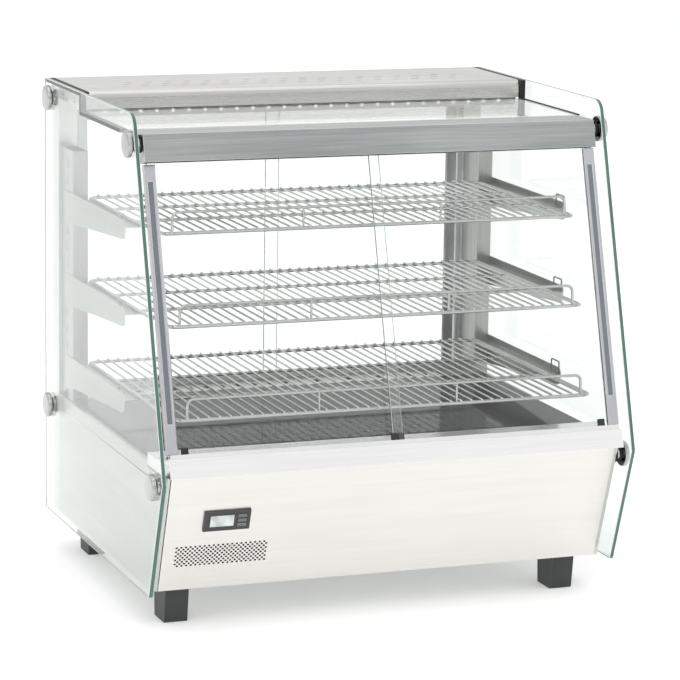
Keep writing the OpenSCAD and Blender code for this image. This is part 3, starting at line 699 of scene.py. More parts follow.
# Near-black steel standing for the shade inside the canopy's vents and on the lamp pan under them: painted
# shade.
SLOT_SHADE = BrushedMetal("Lining above the lamps", pale=(0.12, 0.115, 0.105), dark=(0.07, 0.068, 0.062),
                           roughness=0.6)
BRACKET_STEEL = BrushedMetal("Bracket steel", pale=(0.50, 0.525, 0.505), dark=(0.38, 0.405, 0.385),
                             grain=Grain.DEEP, roughness=0.38)
UPRIGHT_STEEL = BrushedMetal("Upright steel", pale=(0.52, 0.53, 0.51), dark=(0.32, 0.33, 0.315),
                             grain=Grain.UPRIGHT, roughness=0.34)
ANODISED = BrushedMetal("Anodised aluminium", pale=(0.56, 0.56, 0.59), dark=(0.42, 0.42, 0.45),
                        grain=Grain.UPRIGHT, roughness=0.30)
TRACK_ALUMINIUM = BrushedMetal("Track aluminium", pale=(0.84, 0.84, 0.84), dark=(0.70, 0.70, 0.70),
                               roughness=0.28)
HEATED_SHEATH = BrushedMetal("Heat darkened sheath", pale=(0.30, 0.25, 0.22), dark=(0.16, 0.14, 0.13),
                             roughness=0.48)
WIRE_CHROME = PolishedMetal("Wire chrome", colour=(0.52, 0.525, 0.515), roughness=0.12)
CAP_CHROME = PolishedMetal("Cap chrome", colour=(0.48, 0.485, 0.475), roughness=0.20)
STOP_WIRE = PolishedMetal("Stop wire", colour=(0.22, 0.225, 0.215), roughness=0.3)
SCREW_STEEL = PolishedMetal("Screw steel", colour=(0.62, 0.62, 0.61), roughness=0.2)
SIDE_GLASS = ClearGlass("Side glass")
DOOR_GLASS = ClearGlass("Door glass", tint=(0.97, 0.985, 0.978), rim=(0.40, 0.50, 0.46), rim_clear=0.7)
TOP_GLASS = ClearGlass("Top glass", tint=(0.97, 0.985, 0.98), rim=(0.30, 0.48, 0.42))
FLOOR_GLASS = Moulding("Black floor glass", deep=(0.006, 0.006, 0.006), worn=(0.010, 0.010, 0.010),
                       roughness=0.05, grain=90.0, relief=0.0, shine=1.15)
GASKET = Moulding("Gasket rubber", deep=(0.012, 0.012, 0.012), worn=(0.028, 0.028, 0.028), roughness=0.62,
                  grain=2600.0)
BLACK_PLASTIC = Moulding("Black plastic", deep=(0.014, 0.014, 0.015), worn=(0.030, 0.030, 0.032),
                         roughness=0.42)
FOOT_PLASTIC = Moulding("Foot plastic", deep=(0.030, 0.031, 0.032), worn=(0.046, 0.048, 0.049),
                        roughness=0.46)
BEZEL_PLASTIC = Moulding("Bezel plastic", deep=(0.030, 0.031, 0.031), worn=(0.055, 0.056, 0.056),
                         roughness=0.36)
KEY_PLASTIC = Moulding("Key plastic", deep=(0.10, 0.105, 0.11), worn=(0.17, 0.175, 0.18), roughness=0.45)
IVORY_PLASTIC = Moulding("Ivory plastic", deep=(0.58, 0.55, 0.45), worn=(0.70, 0.67, 0.58), roughness=0.45)
RED_ROCKER = Moulding("Red rocker", deep=(0.40, 0.015, 0.012), worn=(0.55, 0.03, 0.02),
                      roughness=0.22, relief=0.02)
# Dark blue-grey standing for the shade in the grips' recessed finger channels: painted shade.
GRIP_CHANNEL_SHADE = Moulding("Grip channel", deep=(0.13, 0.15, 0.17), worn=(0.19, 0.21, 0.23), roughness=0.42)
LED_GLOW = Lamp("Lamp lens")
LED_BOARD = Moulding("Lamp board", deep=(0.72, 0.72, 0.70), worn=(0.82, 0.82, 0.80), roughness=0.5)
DISPLAY = Window("Display window")


# ---- meshes -------------------------------------------------------------------------------------
def new_piece(name: str, mesh: bpy.types.Mesh) -> bpy.types.Object:
    """Puts a mesh into the scene as an object at the origin.

    Args:
        name: the object's name.
        mesh: its mesh.

    Returns:
        The object.
    """
    piece = bpy.data.objects.new(name, mesh)
    bpy.context.scene.collection.objects.link(piece)
    return piece


def smoothed(mesh: bpy.types.Mesh, degrees: float = 32.0) -> bpy.types.Mesh:
    """Shades a mesh smooth, with the edges over this angle kept sharp.

    Args:
        mesh: the mesh.
        degrees: the least angle of a sharp edge.

    Returns:
        The mesh.
    """
    mesh.shade_smooth()
    mesh.set_sharp_from_angle(angle=math.radians(degrees))
    return mesh


def made_plain(piece: bpy.types.Object) -> bpy.types.Object:
    """Turns a piece's modifiers into plain mesh.

    Args:
        piece: the object with modifiers.

    Returns:
        The same object, with the evaluated mesh and no modifiers.
    """
    bpy.context.view_layer.update()
    graph = bpy.context.evaluated_depsgraph_get()
    mesh = bpy.data.meshes.new_from_object(piece.evaluated_get(graph), preserve_all_data_layers=True,
                                           depsgraph=graph)
    mesh.name = piece.name
    piece.modifiers.clear()
    piece.data = mesh
    return piece


def merged_copy(node: str) -> bpy.types.Mesh:
    """A copy of a CAD node's mesh with its triangles merged into whole faces.

    Args:
        node: the CAD node's name.

    Returns:
        The mesh.
    """
    mesh = frame["nodes"][node].data.copy()
    grid = bmesh.new()
    grid.from_mesh(mesh)
    bmesh.ops.remove_doubles(grid, verts=grid.verts, dist=MERGE_DISTANCE)
    bmesh.ops.dissolve_limit(grid, angle_limit=math.radians(0.4), verts=grid.verts, edges=grid.edges)
    grid.to_mesh(mesh)
    grid.free()
    for name in [layer.name for layer in mesh.uv_layers]:
        mesh.uv_layers.remove(mesh.uv_layers[name])
    return mesh


def island_boxes(node: str) -> list[tuple[Vector, Vector]]:
    """The box of each separate solid of a CAD node.

    Args:
        node: the CAD node's name.

    Returns:
        (lowest corner, highest corner) of each solid, from left to right.
    """
    grid = bmesh.new()
    grid.from_mesh(frame["nodes"][node].data)
    bmesh.ops.remove_doubles(grid, verts=grid.verts, dist=MERGE_DISTANCE)
    left, boxes = set(grid.verts), []
    while left:
        todo, island = [left.pop()], []
        while todo:
            vertex = todo.pop()
            island.append(vertex.co.copy())
            for edge in vertex.link_edges:
                other = edge.other_vert(vertex)
                if other in left:
                    left.remove(other)
                    todo.append(other)
        boxes.append((Vector(min(p[i] for p in island) for i in range(3)),
                      Vector(max(p[i] for p in island) for i in range(3))))
    grid.free()
    return sorted(boxes, key=lambda b: tuple(round(v, 4) for v in b[0]))


def even_row(reach: float, count: int) -> list[float]:
    """Places spread evenly from -reach to reach."""
    return [reach * (2 * k / (count - 1) - 1) for k in range(count)]


def middle(box: tuple[Vector, Vector]) -> Vector:
    """The middle of a box."""
    return (box[0] + box[1]) / 2


def lathe(name: str, outline: Sequence[tuple[float, float]], sides: int, finish: Finish) -> bpy.types.Object:
    """A turned piece about the Z axis.

    Args:
        name: the object's name.
        outline: (radius, height) points, from the axis out and back to the axis.
        sides: how many sides it has.
        finish: its finish.

    Returns:
        The object, with its faces outwards.
    """
    grid = bmesh.new()
    rings = []
    for radius, height in outline:
        if radius < 1e-9:
            rings.append([grid.verts.new((0, 0, height))])
        else:
            rings.append([grid.verts.new((radius * math.cos(math.tau * k / sides),
                                          radius * math.sin(math.tau * k / sides), height))
                          for k in range(sides)])
    for low, high in zip(rings, rings[1:]):
        for k in range(sides):
            corners = [low[k % len(low)], low[(k + 1) % len(low)],
                       high[(k + 1) % len(high)], high[k % len(high)]]
            unique = list(dict.fromkeys(corners))
            if len(unique) > 2:
                grid.faces.new(unique)
    bmesh.ops.recalc_face_normals(grid, faces=grid.faces)
    mesh = bpy.data.meshes.new(name)
    grid.to_mesh(mesh)
    grid.free()
    mesh.materials.append(finish.surface())
    return new_piece(name, smoothed(mesh))


# ---- geometry node trees ------------------------------------------------------------------------
_TREES: dict[str, bpy.types.NodeTree] = {}


def geometry_tree(name: str, inputs: Sequence[tuple[str, str]],
                  fill: Callable[[NodeSketch, bpy.types.Node], bpy.types.NodeSocket]) -> bpy.types.NodeTree:
    """Makes a geometry node tree once. It ends in Realize Instances and Set Material.

    Args:
        name: the tree's name.
        inputs: (name, socket kind) of each size that it takes.
        fill: draws the inside, from the sketch and the input node, and gives the geometry.

    Returns:
        The tree.
    """
    if name not in _TREES:
        tree = bpy.data.node_groups.new(name, "GeometryNodeTree")
        tree.interface.new_socket(name="Geometry", in_out="INPUT", socket_type="NodeSocketGeometry")
        for label, kind in inputs:
            tree.interface.new_socket(name=label, in_out="INPUT", socket_type=kind)
        tree.interface.new_socket(name="Material", in_out="INPUT", socket_type="NodeSocketMaterial")
        tree.interface.new_socket(name="Geometry", in_out="OUTPUT", socket_type="NodeSocketGeometry")
        sketch = NodeSketch(tree)
        given = sketch.add("NodeGroupInput")
        shape = fill(sketch, given)
        whole = sketch.add("GeometryNodeRealizeInstances", {"Geometry": shape})
        smooth = sketch.add("GeometryNodeSetShadeSmooth", {"Geometry": whole.outputs[0]})
        painted = sketch.add("GeometryNodeSetMaterial", {
            "Geometry": smooth.outputs[0], "Material": given.outputs["Material"]})
        result = sketch.add("NodeGroupOutput")
        sketch.feed(result.inputs["Geometry"], painted.outputs[0])
        _TREES[name] = tree
    return _TREES[name]


def grown(piece: bpy.types.Object, tree: bpy.types.NodeTree, finish: Finish, **sizes: Any
          ) -> bpy.types.Object:
    """Grows a piece with a geometry node tree and leaves it as plain mesh.

    Args:
        piece: the object that the tree starts from.
        tree: the geometry node tree.
        finish: the finish of the result.
        **sizes: the tree's inputs, with _ for a space in a name.

    Returns:
        The piece.
    """
    modifier = piece.modifiers.new("grow", "NODES")
    modifier.node_group = tree
    sockets = {item.name: item.identifier for item in tree.interface.items_tree
               if item.item_type == "SOCKET" and item.in_out == "INPUT"}
    for label, value in sizes.items():
        modifier[sockets[label.replace("_", " ")]] = value
    modifier[sockets["Material"]] = finish.surface()
    made_plain(piece)
    smoothed(piece.data, 40.0)
    return piece


def bent_wires_tree() -> bpy.types.NodeTree:
    """Round wires along the piece's edges, with bent corners and closed ends.

    Returns:
        The tree.
    """

    def fill(sketch: NodeSketch, given: bpy.types.Node) -> bpy.types.NodeSocket:
        """Draws the wires. The points' thickness attribute is each wire's radius.

        Args:
            sketch: the tree's sketch.
            given: the tree's input node.

        Returns:
            The geometry.
        """
        line = sketch.add("GeometryNodeMeshToCurve", {"Mesh": given.outputs["Geometry"]})
        bent = sketch.add("GeometryNodeFilletCurve", {
            "Curve": line.outputs[0], "Radius": given.outputs["Bend Radius"]})
        bent.mode = "POLY"
        sketch.feed(bent.inputs["Count"], given.outputs["Bend Steps"])
        bent.inputs["Limit Radius"].default_value = True
        thick = sketch.add("GeometryNodeInputNamedAttribute", {"Name": "thickness"}, data_type="FLOAT")
        ring = sketch.add("GeometryNodeCurvePrimitiveCircle", {
            "Resolution": given.outputs["Sides"], "Radius": 1.0})
        tube = sketch.add("GeometryNodeCurveToMesh", {
            "Curve": bent.outputs[0], "Profile Curve": ring.outputs[0], "Scale": thick.outputs[0],
            "Fill Caps": True})
        return tube.outputs[0]

    return geometry_tree("Bent wires", [
        ("Bend Radius", "NodeSocketFloat"), ("Bend Steps", "NodeSocketInt"),
        ("Sides", "NodeSocketInt")], fill)


def bar_row_tree() -> bpy.types.NodeTree:
    """A row of equal round bars, each an instance on a line of points.

    Returns:
        The tree.
    """

    def fill(sketch: NodeSketch, given: bpy.types.Node) -> bpy.types.NodeSocket:
        """Draws one bar and repeats it.

        Args:
            sketch: the tree's sketch.
            given: the tree's input node.

        Returns:
            The geometry.
        """
        step = sketch.add("ShaderNodeCombineXYZ", {"X": given.outputs["Pitch"]})
        row = sketch.add("GeometryNodeMeshLine", {
            "Count": given.outputs["Count"], "Start Location": given.outputs["Start"],
            "Offset": step.outputs[0]})
        reach = sketch.add("ShaderNodeCombineXYZ", {"Y": given.outputs["Length"]})
        line = sketch.add("GeometryNodeCurvePrimitiveLine", {"End": reach.outputs[0]})
        ring = sketch.add("GeometryNodeCurvePrimitiveCircle", {
            "Resolution": given.outputs["Sides"], "Radius": given.outputs["Radius"]})
        bar = sketch.add("GeometryNodeCurveToMesh", {
            "Curve": line.outputs[0], "Profile Curve": ring.outputs[0], "Fill Caps": True})
        put = sketch.add("GeometryNodeInstanceOnPoints", {
            "Points": row.outputs[0], "Instance": bar.outputs[0]})
        return put.outputs[0]

    return geometry_tree("Bar row", [
        ("Count", "NodeSocketInt"), ("Start", "NodeSocketVector"), ("Pitch", "NodeSocketFloat"),
        ("Length", "NodeSocketFloat"), ("Radius", "NodeSocketFloat"), ("Sides", "NodeSocketInt")], fill)


def studs_tree() -> bpy.types.NodeTree:
    """A small part repeated on the piece's points, turned to each point's normal.

    Returns:
        The tree.
    """

    def fill(sketch: NodeSketch, given: bpy.types.Node) -> bpy.types.NodeSocket:
        """Puts the part on every point.

        Args:
            sketch: the tree's sketch.
            given: the tree's input node.

        Returns:
            The geometry.
        """
        part = sketch.add("GeometryNodeObjectInfo", {"Object": given.outputs["Part"]})
        facing = sketch.add("GeometryNodeInputNamedAttribute", {"Name": "facing"}, data_type="FLOAT_VECTOR")
        turned = sketch.add("FunctionNodeAlignRotationToVector", {"Vector": facing.outputs[0]}, axis="Z")
        put = sketch.add("GeometryNodeInstanceOnPoints", {
            "Points": given.outputs["Geometry"], "Instance": part.outputs["Geometry"],
            "Rotation": turned.outputs[0]})
        return put.outputs[0]

    return geometry_tree("Studs", [("Part", "NodeSocketObject")], fill)


def blades_tree() -> bpy.types.NodeTree:
    """Swept fan blades set evenly round the Y axis.

    Returns:
        The tree.
    """

    def fill(sketch: NodeSketch, given: bpy.types.Node) -> bpy.types.NodeSocket:
        """Draws the spokes' points and repeats the blade.

        Args:
            sketch: the tree's sketch.
            given: the tree's input node.

        Returns:
            The geometry.
        """
        points = sketch.add("GeometryNodePoints", {"Count": given.outputs["Count"]})
        order = sketch.add("GeometryNodeInputIndex").outputs[0]
        turn = sketch.math("DIVIDE", sketch.math("MULTIPLY", order, math.tau), given.outputs["Count"])
        angle = sketch.add("ShaderNodeCombineXYZ", {"Y": turn})
        put = sketch.add("GeometryNodeInstanceOnPoints", {
            "Points": points.outputs[0], "Instance": given.outputs["Geometry"], "Rotation": angle.outputs[0]})
        moved = sketch.add("GeometryNodeTranslateInstances", {
            "Instances": put.outputs[0], "Translation": given.outputs["Centre"], "Local Space": False})
        return moved.outputs[0]

    return geometry_tree("Fan blades", [("Count", "NodeSocketInt"), ("Centre", "NodeSocketVector")], fill)


# ---- sub-assemblies -----------------------------------------------------------------------------
@dataclass
class SubAssembly:
    """Pieces that are made and dressed together."""

    made: list[str] = field(default_factory=list)

    def build(self) -> None:
        """Makes the pieces."""
        raise NotImplementedError

    def keep(self, piece: bpy.types.Object, *nodes: str, stands_for: bool = True) -> bpy.types.Object:
        """Gives a piece its body, and says which CAD nodes it stands for.

        Args:
            piece: the finished object.
            *nodes: the CAD nodes that it belongs to. The first gives the body.
            stands_for: whether the CAD nodes are replaced.

        Returns:
            The piece.
        """
        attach(piece, BODY_OF[nodes[0]])
        if stands_for:
            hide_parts(*nodes)
        self.made.append(piece.name)
        return piece

    def dress(self, node: str, finish: Finish) -> None:
        """Gives a CAD node its finish where its own shape stays.

        Args:
            node: the CAD node.
            finish: its finish.
        """
        for slot in frame["nodes"][node].material_slots:
            slot.material = finish.surface()
        self.made.append(node)

    def worked(self, node: str, finish: Finish, edge: float, steps: int = 2, degrees: float = 34.0
               ) -> bpy.types.Object:
        """Makes a finished copy of a CAD node, with every corner eased.

        Args:
            node: the CAD node.
            finish: its finish.
            edge: the width of the eased edge, in metres.
            steps: how many steps the eased edge has.
            degrees: the least angle of an edge that is eased.

        Returns:
            The new piece, in place of the node.
        """
        mesh = merged_copy(node)
        mesh.materials.clear()
        mesh.materials.append(finish.surface())
        mesh.materials.append(finish.edge())
        piece = new_piece(f"{node}_finished", mesh)
        ease = piece.modifiers.new("ease", "BEVEL")
        ease.width, ease.segments, ease.limit_method = edge, steps, "ANGLE"
        ease.angle_limit = math.radians(degrees)
        ease.use_clamp_overlap = False
        ease.harden_normals = True
        ease.material = 1
        made_plain(piece)
        return self.keep(piece, node)


@dataclass
class Fasteners:
    """Pan-head screws set on points."""

    head_radius: float = 3.4 * MM
    head_height: float = 1.5 * MM
    sides: int = 20

    def head(self) -> bpy.types.Object:
        """One screw head with a round recess, on the XY plane.

        Returns:
            The object.
        """
        r, h = self.head_radius, self.head_height
        outline = [(0.0, -0.2 * MM), (r, -0.2 * MM), (r, h * 0.35), (r * 0.88, h * 0.78), (r * 0.55, h),
                   (r * 0.42, h * 0.96), (r * 0.2, h * 0.35), (0.0, h * 0.3)]
        return lathe("screw_head_pattern", outline, self.sides, SCREW_STEEL)

    def set_on(self, name: str, spots: Sequence[tuple[Point, Point]]) -> bpy.types.Object:
        """Sets a head on each spot.

        Args:
            name: the piece's name.
            spots: (place, outward direction) of each screw.

        Returns:
            One piece with all the heads.
        """
        return studded(name, self.head(), spots, SCREW_STEEL)


def studded(name: str, pattern: bpy.types.Object, spots: Sequence[tuple[Point, Point]], finish: Finish
            ) -> bpy.types.Object:
    """Repeats a pattern object on spots, then removes the pattern.

    Args:
        name: the piece's name.
        pattern: the object that is repeated, standing up Z.
        spots: (place, outward direction) of each copy.
        finish: the finish of the result.

    Returns:
        One piece with all the copies.
    """
    mesh = bpy.data.meshes.new(name)
    mesh.from_pydata([spot[0] for spot in spots], [], [])
    facing = mesh.attributes.new("facing", "FLOAT_VECTOR", "POINT")
    for k, (_, direction) in enumerate(spots):
        facing.data[k].vector = direction
    piece = new_piece(name, mesh)
    grown(piece, studs_tree(), finish, Part=pattern)
    bpy.data.objects.remove(pattern)
    return piece


def facing_share(mesh: bpy.types.Mesh) -> Vector:
    """The normal of a mesh's largest face."""
    return max(mesh.polygons, key=lambda polygon: polygon.area).normal.copy()


def wires(name: str, runs: Sequence[tuple[Sequence[Point], float, bool]], bend: float, finish: Finish,
          sides: int = 14) -> bpy.types.Object:
    """Bent wires as one piece.

    Args:
        name: the piece's name.
        runs: (corner points, wire radius, whether the run closes on itself) of each wire.
        bend: the bend radius at the corners.
        finish: the finish.
        sides: how many sides a wire has.

    Returns:
        The piece.
    """
    points, edges, radii = [], [], []
    for corners, radius, closed in runs:
        first = len(points)
        points += corners
        radii += [radius] * len(corners)
        edges += [(first + k, first + k + 1) for k in range(len(corners) - 1)]
        if closed:
            edges.append((first + len(corners) - 1, first))
    mesh = bpy.data.meshes.new(name)
    mesh.from_pydata(points, edges, [])
    mesh.attributes.new("thickness", "FLOAT", "POINT").data.foreach_set("value", radii)
    return grown(new_piece(name, mesh), bent_wires_tree(), finish, Bend_Radius=bend,
                 Bend_Steps=BEND_STEPS, Sides=sides)


@dataclass
class Base(SubAssembly):
    """The control base: folded pan, sides, perforated front panel, rear panel and block feet."""

    fold: float = 0.3 * MM
    foot_round: float = 1.2 * MM
    screw_inset: float = 9.0 * MM
    screws_along: int = 5

    def build(self) -> None:
        """Makes the base's pieces."""
        for node in ("bottom_pan", "base_side_left", "base_side_right"):
            self.worked(node, SATIN_DEEP, self.fold)
        self.dress("front_panel", PANEL_STEEL)
        self.dress("rear_panel", SATIN_ACROSS)
        self.worked("feet", FOOT_PLASTIC, self.foot_round)
        self.rear_screws()

    def rear_screws(self) -> None:
        """Sets a row of screws along the foot of the rear panel."""
        low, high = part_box("rear_panel")
        inset = self.screw_inset
        reach = high[0] - inset
        spots = [((x, high[1], low[2] + inset), (0.0, 1.0, 0.0))
                 for x in even_row(reach, self.screws_along)]
        piece = Fasteners().set_on("rear_panel_screws", spots)
        self.keep(piece, "rear_panel", stands_for=False)


@dataclass
class Deck(SubAssembly):
    """The sill, the slotted deck frame and the dark glass floor."""

    fold: float = 0.4 * MM

    def build(self) -> None:
        """Makes the deck's pieces."""
        self.worked("front_sill", SILL_STEEL, self.fold)
        self.worked("deck_frame", SATIN_ACROSS, self.fold)
        self.worked("deck_plate", FLOOR_GLASS, 0.8 * MM, steps=3)


@dataclass
class Frame(SubAssembly):
    """Posts, slotted uprights, canopy, top rail and the flat top glass."""

    fold: float = 0.4 * MM
    vent_border: float = 18.0 * MM
    vent_depth: float = 1.6 * MM
    canopy_screws: int = 4
    screw_inset: float = 40.0 * MM

    def build(self) -> None:
        """Makes the frame's pieces."""
        for side in Side:
            self.worked(f"rear_post_{side.value}", SATIN_UPRIGHT, self.fold)
            self.worked(f"upright_{side.value}", UPRIGHT_STEEL, self.fold)
        self.canopy()
        self.lamp_pan()
        self.worked("top_rail", RAIL_STEEL, 0.6 * MM)
        pane(self, "top_glass", TOP_GLASS)
        self.rear_screws()

    def canopy(self) -> None:
        """Makes the canopy, with the cut edges inside its vents painted dark as shade."""
        piece = self.worked("canopy", CANOPY_STEEL, self.fold)
        piece.data.materials.append(SLOT_SHADE.surface())
        low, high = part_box("canopy")
        border = self.vent_border
        for polygon in piece.data.polygons:
            x, y, z = polygon.center
            inside = abs(x) < high[0] - border and low[1] + border < y < high[1] - border
            if inside and z > high[2] - self.vent_depth and polygon.normal.z < 0.9:
                # The vents' cut edges take the painted shade.
                polygon.material_index = 2

    def lamp_pan(self) -> None:
        """Makes the lamp pan, with its top painted dark as shade where the vents look into it."""
        piece = self.worked("lamp_pan", SATIN_ACROSS, self.fold)
        piece.data.materials.append(SLOT_SHADE.surface())
        for polygon in piece.data.polygons:
            if polygon.normal.z > 0.9:
                # The lamp pan's top takes the painted shade seen through the vents.
                polygon.material_index = 2

    def rear_screws(self) -> None:
        """Sets screws along the canopy's rear skirt."""
        low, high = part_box("canopy")
        reach = high[0] - self.screw_inset
        spots = [((x, high[1], (low[2] + high[2]) / 2), (0.0, 1.0, 0.0))
                 for x in even_row(reach, self.canopy_screws)]
        piece = Fasteners().set_on("canopy_screws", spots)
        self.keep(piece, "canopy", stands_for=False)


def pane(owner: SubAssembly, node: str, finish: ClearGlass, ground: float = 0.5 * MM) -> bpy.types.Object:
    """Makes a pane of glass with ground edges from its CAD node.

    Args:
        owner: the sub-assembly that it belongs to.
        node: the CAD node.
        finish: the kind of glass.
        ground: the width of the ground edge.

    Returns:
        The pane. Its broad faces are clear, its edge faces have the rim's green, and the bevels between have
        the pale ground line with its painted highlight.
    """
    piece = owner.worked(node, finish, ground, steps=2, degrees=50.0)
    piece.data.materials.append(finish.ground_edge_and_highlight())
    broad = facing_share(piece.data)
    for polygon in piece.data.polygons:
        share = abs(polygon.normal.dot(broad))
        # Index 2, the bevels, gets the frosted ground line with its painted highlight.
        polygon.material_index = 0 if share > 0.999 else 1 if share < 0.2 else 2
    return piece


@dataclass
class Lamps(SubAssembly):
    """The row of lamps under the canopy's front edge."""

    count: int = 26
    end_gap: float = 9.0 * MM
    lens_radius: float = 2.6 * MM
    lens_height: float = 1.4 * MM
    lens_sides: int = 14

    def build(self) -> None:
        """Dresses the lamp board and sets a lens on each lamp."""
        self.dress("led_strip", LED_BOARD)
        low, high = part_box("led_strip")
        reach = (high[0] - low[0]) / 2 - 2 * self.end_gap
        r, h = self.lens_radius, self.lens_height
        outline = [(0.0, -0.3 * MM), (r, -0.3 * MM), (r * 0.92, h * 0.45), (r * 0.6, h * 0.86), (0.0, h)]
        spots = [((x, low[1], (low[2] + high[2]) / 2), (0.0, -1.0, 0.0))
                 for x in even_row(reach, self.count)]
        pattern = lathe("lamp_lens_pattern", outline, self.lens_sides, LED_GLOW)
        self.keep(studded("lamp_lenses", pattern, spots, LED_GLOW), "led_strip", stands_for=False)


@dataclass
class SideGlass(SubAssembly):
    """The leaning end panes, their gaskets, and the chromed bolts that carry them."""

    cap_radius: float = 18.0 * MM
    cap_height: float = 7.0 * MM
    stud_radius: float = 4.0 * MM
    stud_length: float = 28.0 * MM
    cap_sides: int = 64
    bush_sides: int = 40
    washer_thickness: float = 1.6 * MM

    def build(self) -> None:
        """Makes both ends."""
        for side in Side:
            pane(self, f"side_glass_{side.value}", SIDE_GLASS, ground=0.7 * MM)
            self.worked(f"gasket_{side.value}", GASKET, 0.6 * MM)
        self.bushes()
        self.bolts()

    def bushes(self) -> None:
        """Makes each bush as a bright sleeve between two rubber washers."""
        spots = []
        for box in island_boxes("glass_bushes"):
            place = middle(box)
            out = 1.0 if place.x > 0 else -1.0
            spots.append(((place.x, place.y, place.z), (out, 0.0, 0.0)))
        low, high = island_boxes("glass_bushes")[0]
        gap, rim = (high.x - low.x) / 2, (high.z - low.z) / 2
        bore, thick = self.stud_radius + 0.2 * MM, self.washer_thickness
        sleeve = [(bore, -gap + thick), (rim * 0.7, -gap + thick), (rim * 0.7, gap - thick),
                  (bore, gap - thick), (bore, -gap + thick)]
        pattern = lathe("sleeve_pattern", sleeve, self.bush_sides, SCREW_STEEL)
        self.keep(studded("bush_sleeves", pattern, spots, SCREW_STEEL), "glass_bushes")
        washers = []
        for end in (-1, 1):
            inner, outer = end * (gap - thick), end * gap
            washers.append(lathe(f"washer_pattern_{end}", [
                (bore, inner), (rim * 0.96, inner), (rim, (inner + outer) / 2), (rim * 0.96, outer),
                (bore, outer), (bore, inner)], self.bush_sides, GASKET))
        for count, pattern in enumerate(washers):
            name = f"bush_washers_{'inner' if count == 0 else 'outer'}"
            self.keep(studded(name, pattern, spots, GASKET), "glass_bushes", stands_for=False)

    def bolts(self) -> None:
        """Turns a stud with a domed cap and repeats it at each bolt."""
        r, h, stud = self.cap_radius, self.cap_height, self.stud_radius
        outline = [(0.0, -self.stud_length), (stud, -self.stud_length), (stud, 0.0), (r * 0.95, 0.0),
                   (r, 0.9 * MM), (r, h * 0.62), (r * 0.985, h * 0.78), (r * 0.94, h * 0.9),
                   (r * 0.86, h * 0.96), (r * 0.6, h * 0.99), (0.0, h)]
        spots = []
        for box in island_boxes("glass_bolts"):
            place = middle(box)
            out = 1.0 if place.x > 0 else -1.0
            face = (box[1].x if out > 0 else box[0].x) - out * h
            spots.append(((face, place.y, place.z), (out, 0.0, 0.0)))
        pattern = lathe("bolt_pattern", outline, self.cap_sides, CAP_CHROME)
        self.keep(studded("glass_bolts_finished", pattern, spots, CAP_CHROME), "glass_bolts")


@dataclass
class SlidingDoors(SubAssembly):
    """The front and rear pairs of sliding glass doors, with tracks, grips and glides."""

    edge: float = 0.5 * MM
    channel_deep: tuple[float, float] = (0.3 * MM, 2.0 * MM)

    def build(self) -> None:
        """Makes the doors and their tracks."""
        for place in ("front", "rear"):
            for level in ("upper", "lower"):
                self.worked(f"{place}_{level}_track", TRACK_ALUMINIUM, 0.2 * MM)
            for side in Side:
                pane(self, f"{place}_door_{side.value}", DOOR_GLASS, ground=0.4 * MM)
                self.grip(place, side)
        for side in Side:
            self.worked(f"front_glides_{side.value}", BLACK_PLASTIC, 0.3 * MM)

    def grip(self, place: str, side: Side) -> None:
        """Makes one grip, whose finger channel is painted dark as shade.

        Args:
            place: "front" or "rear".
            side: the door that it closes.
        """
        piece = self.worked(f"{place}_grip_{side.value}", ANODISED, self.edge)
        mesh = piece.data
        mesh.materials.append(GRIP_CHANNEL_SHADE.surface())
        outward = facing_share(mesh)
        if (outward.y > 0) != (place == "rear"):
            outward.negate()
        level = [polygon.center.dot(outward) for polygon in mesh.polygons]
        top = max(level)
        shallow, deep = self.channel_deep
        for polygon, height in zip(mesh.polygons, level):
            if polygon.normal.dot(outward) > 0.99 and shallow < top - height < deep:
                # The recessed channel floor takes the painted shade.
                polygon.material_index = 2


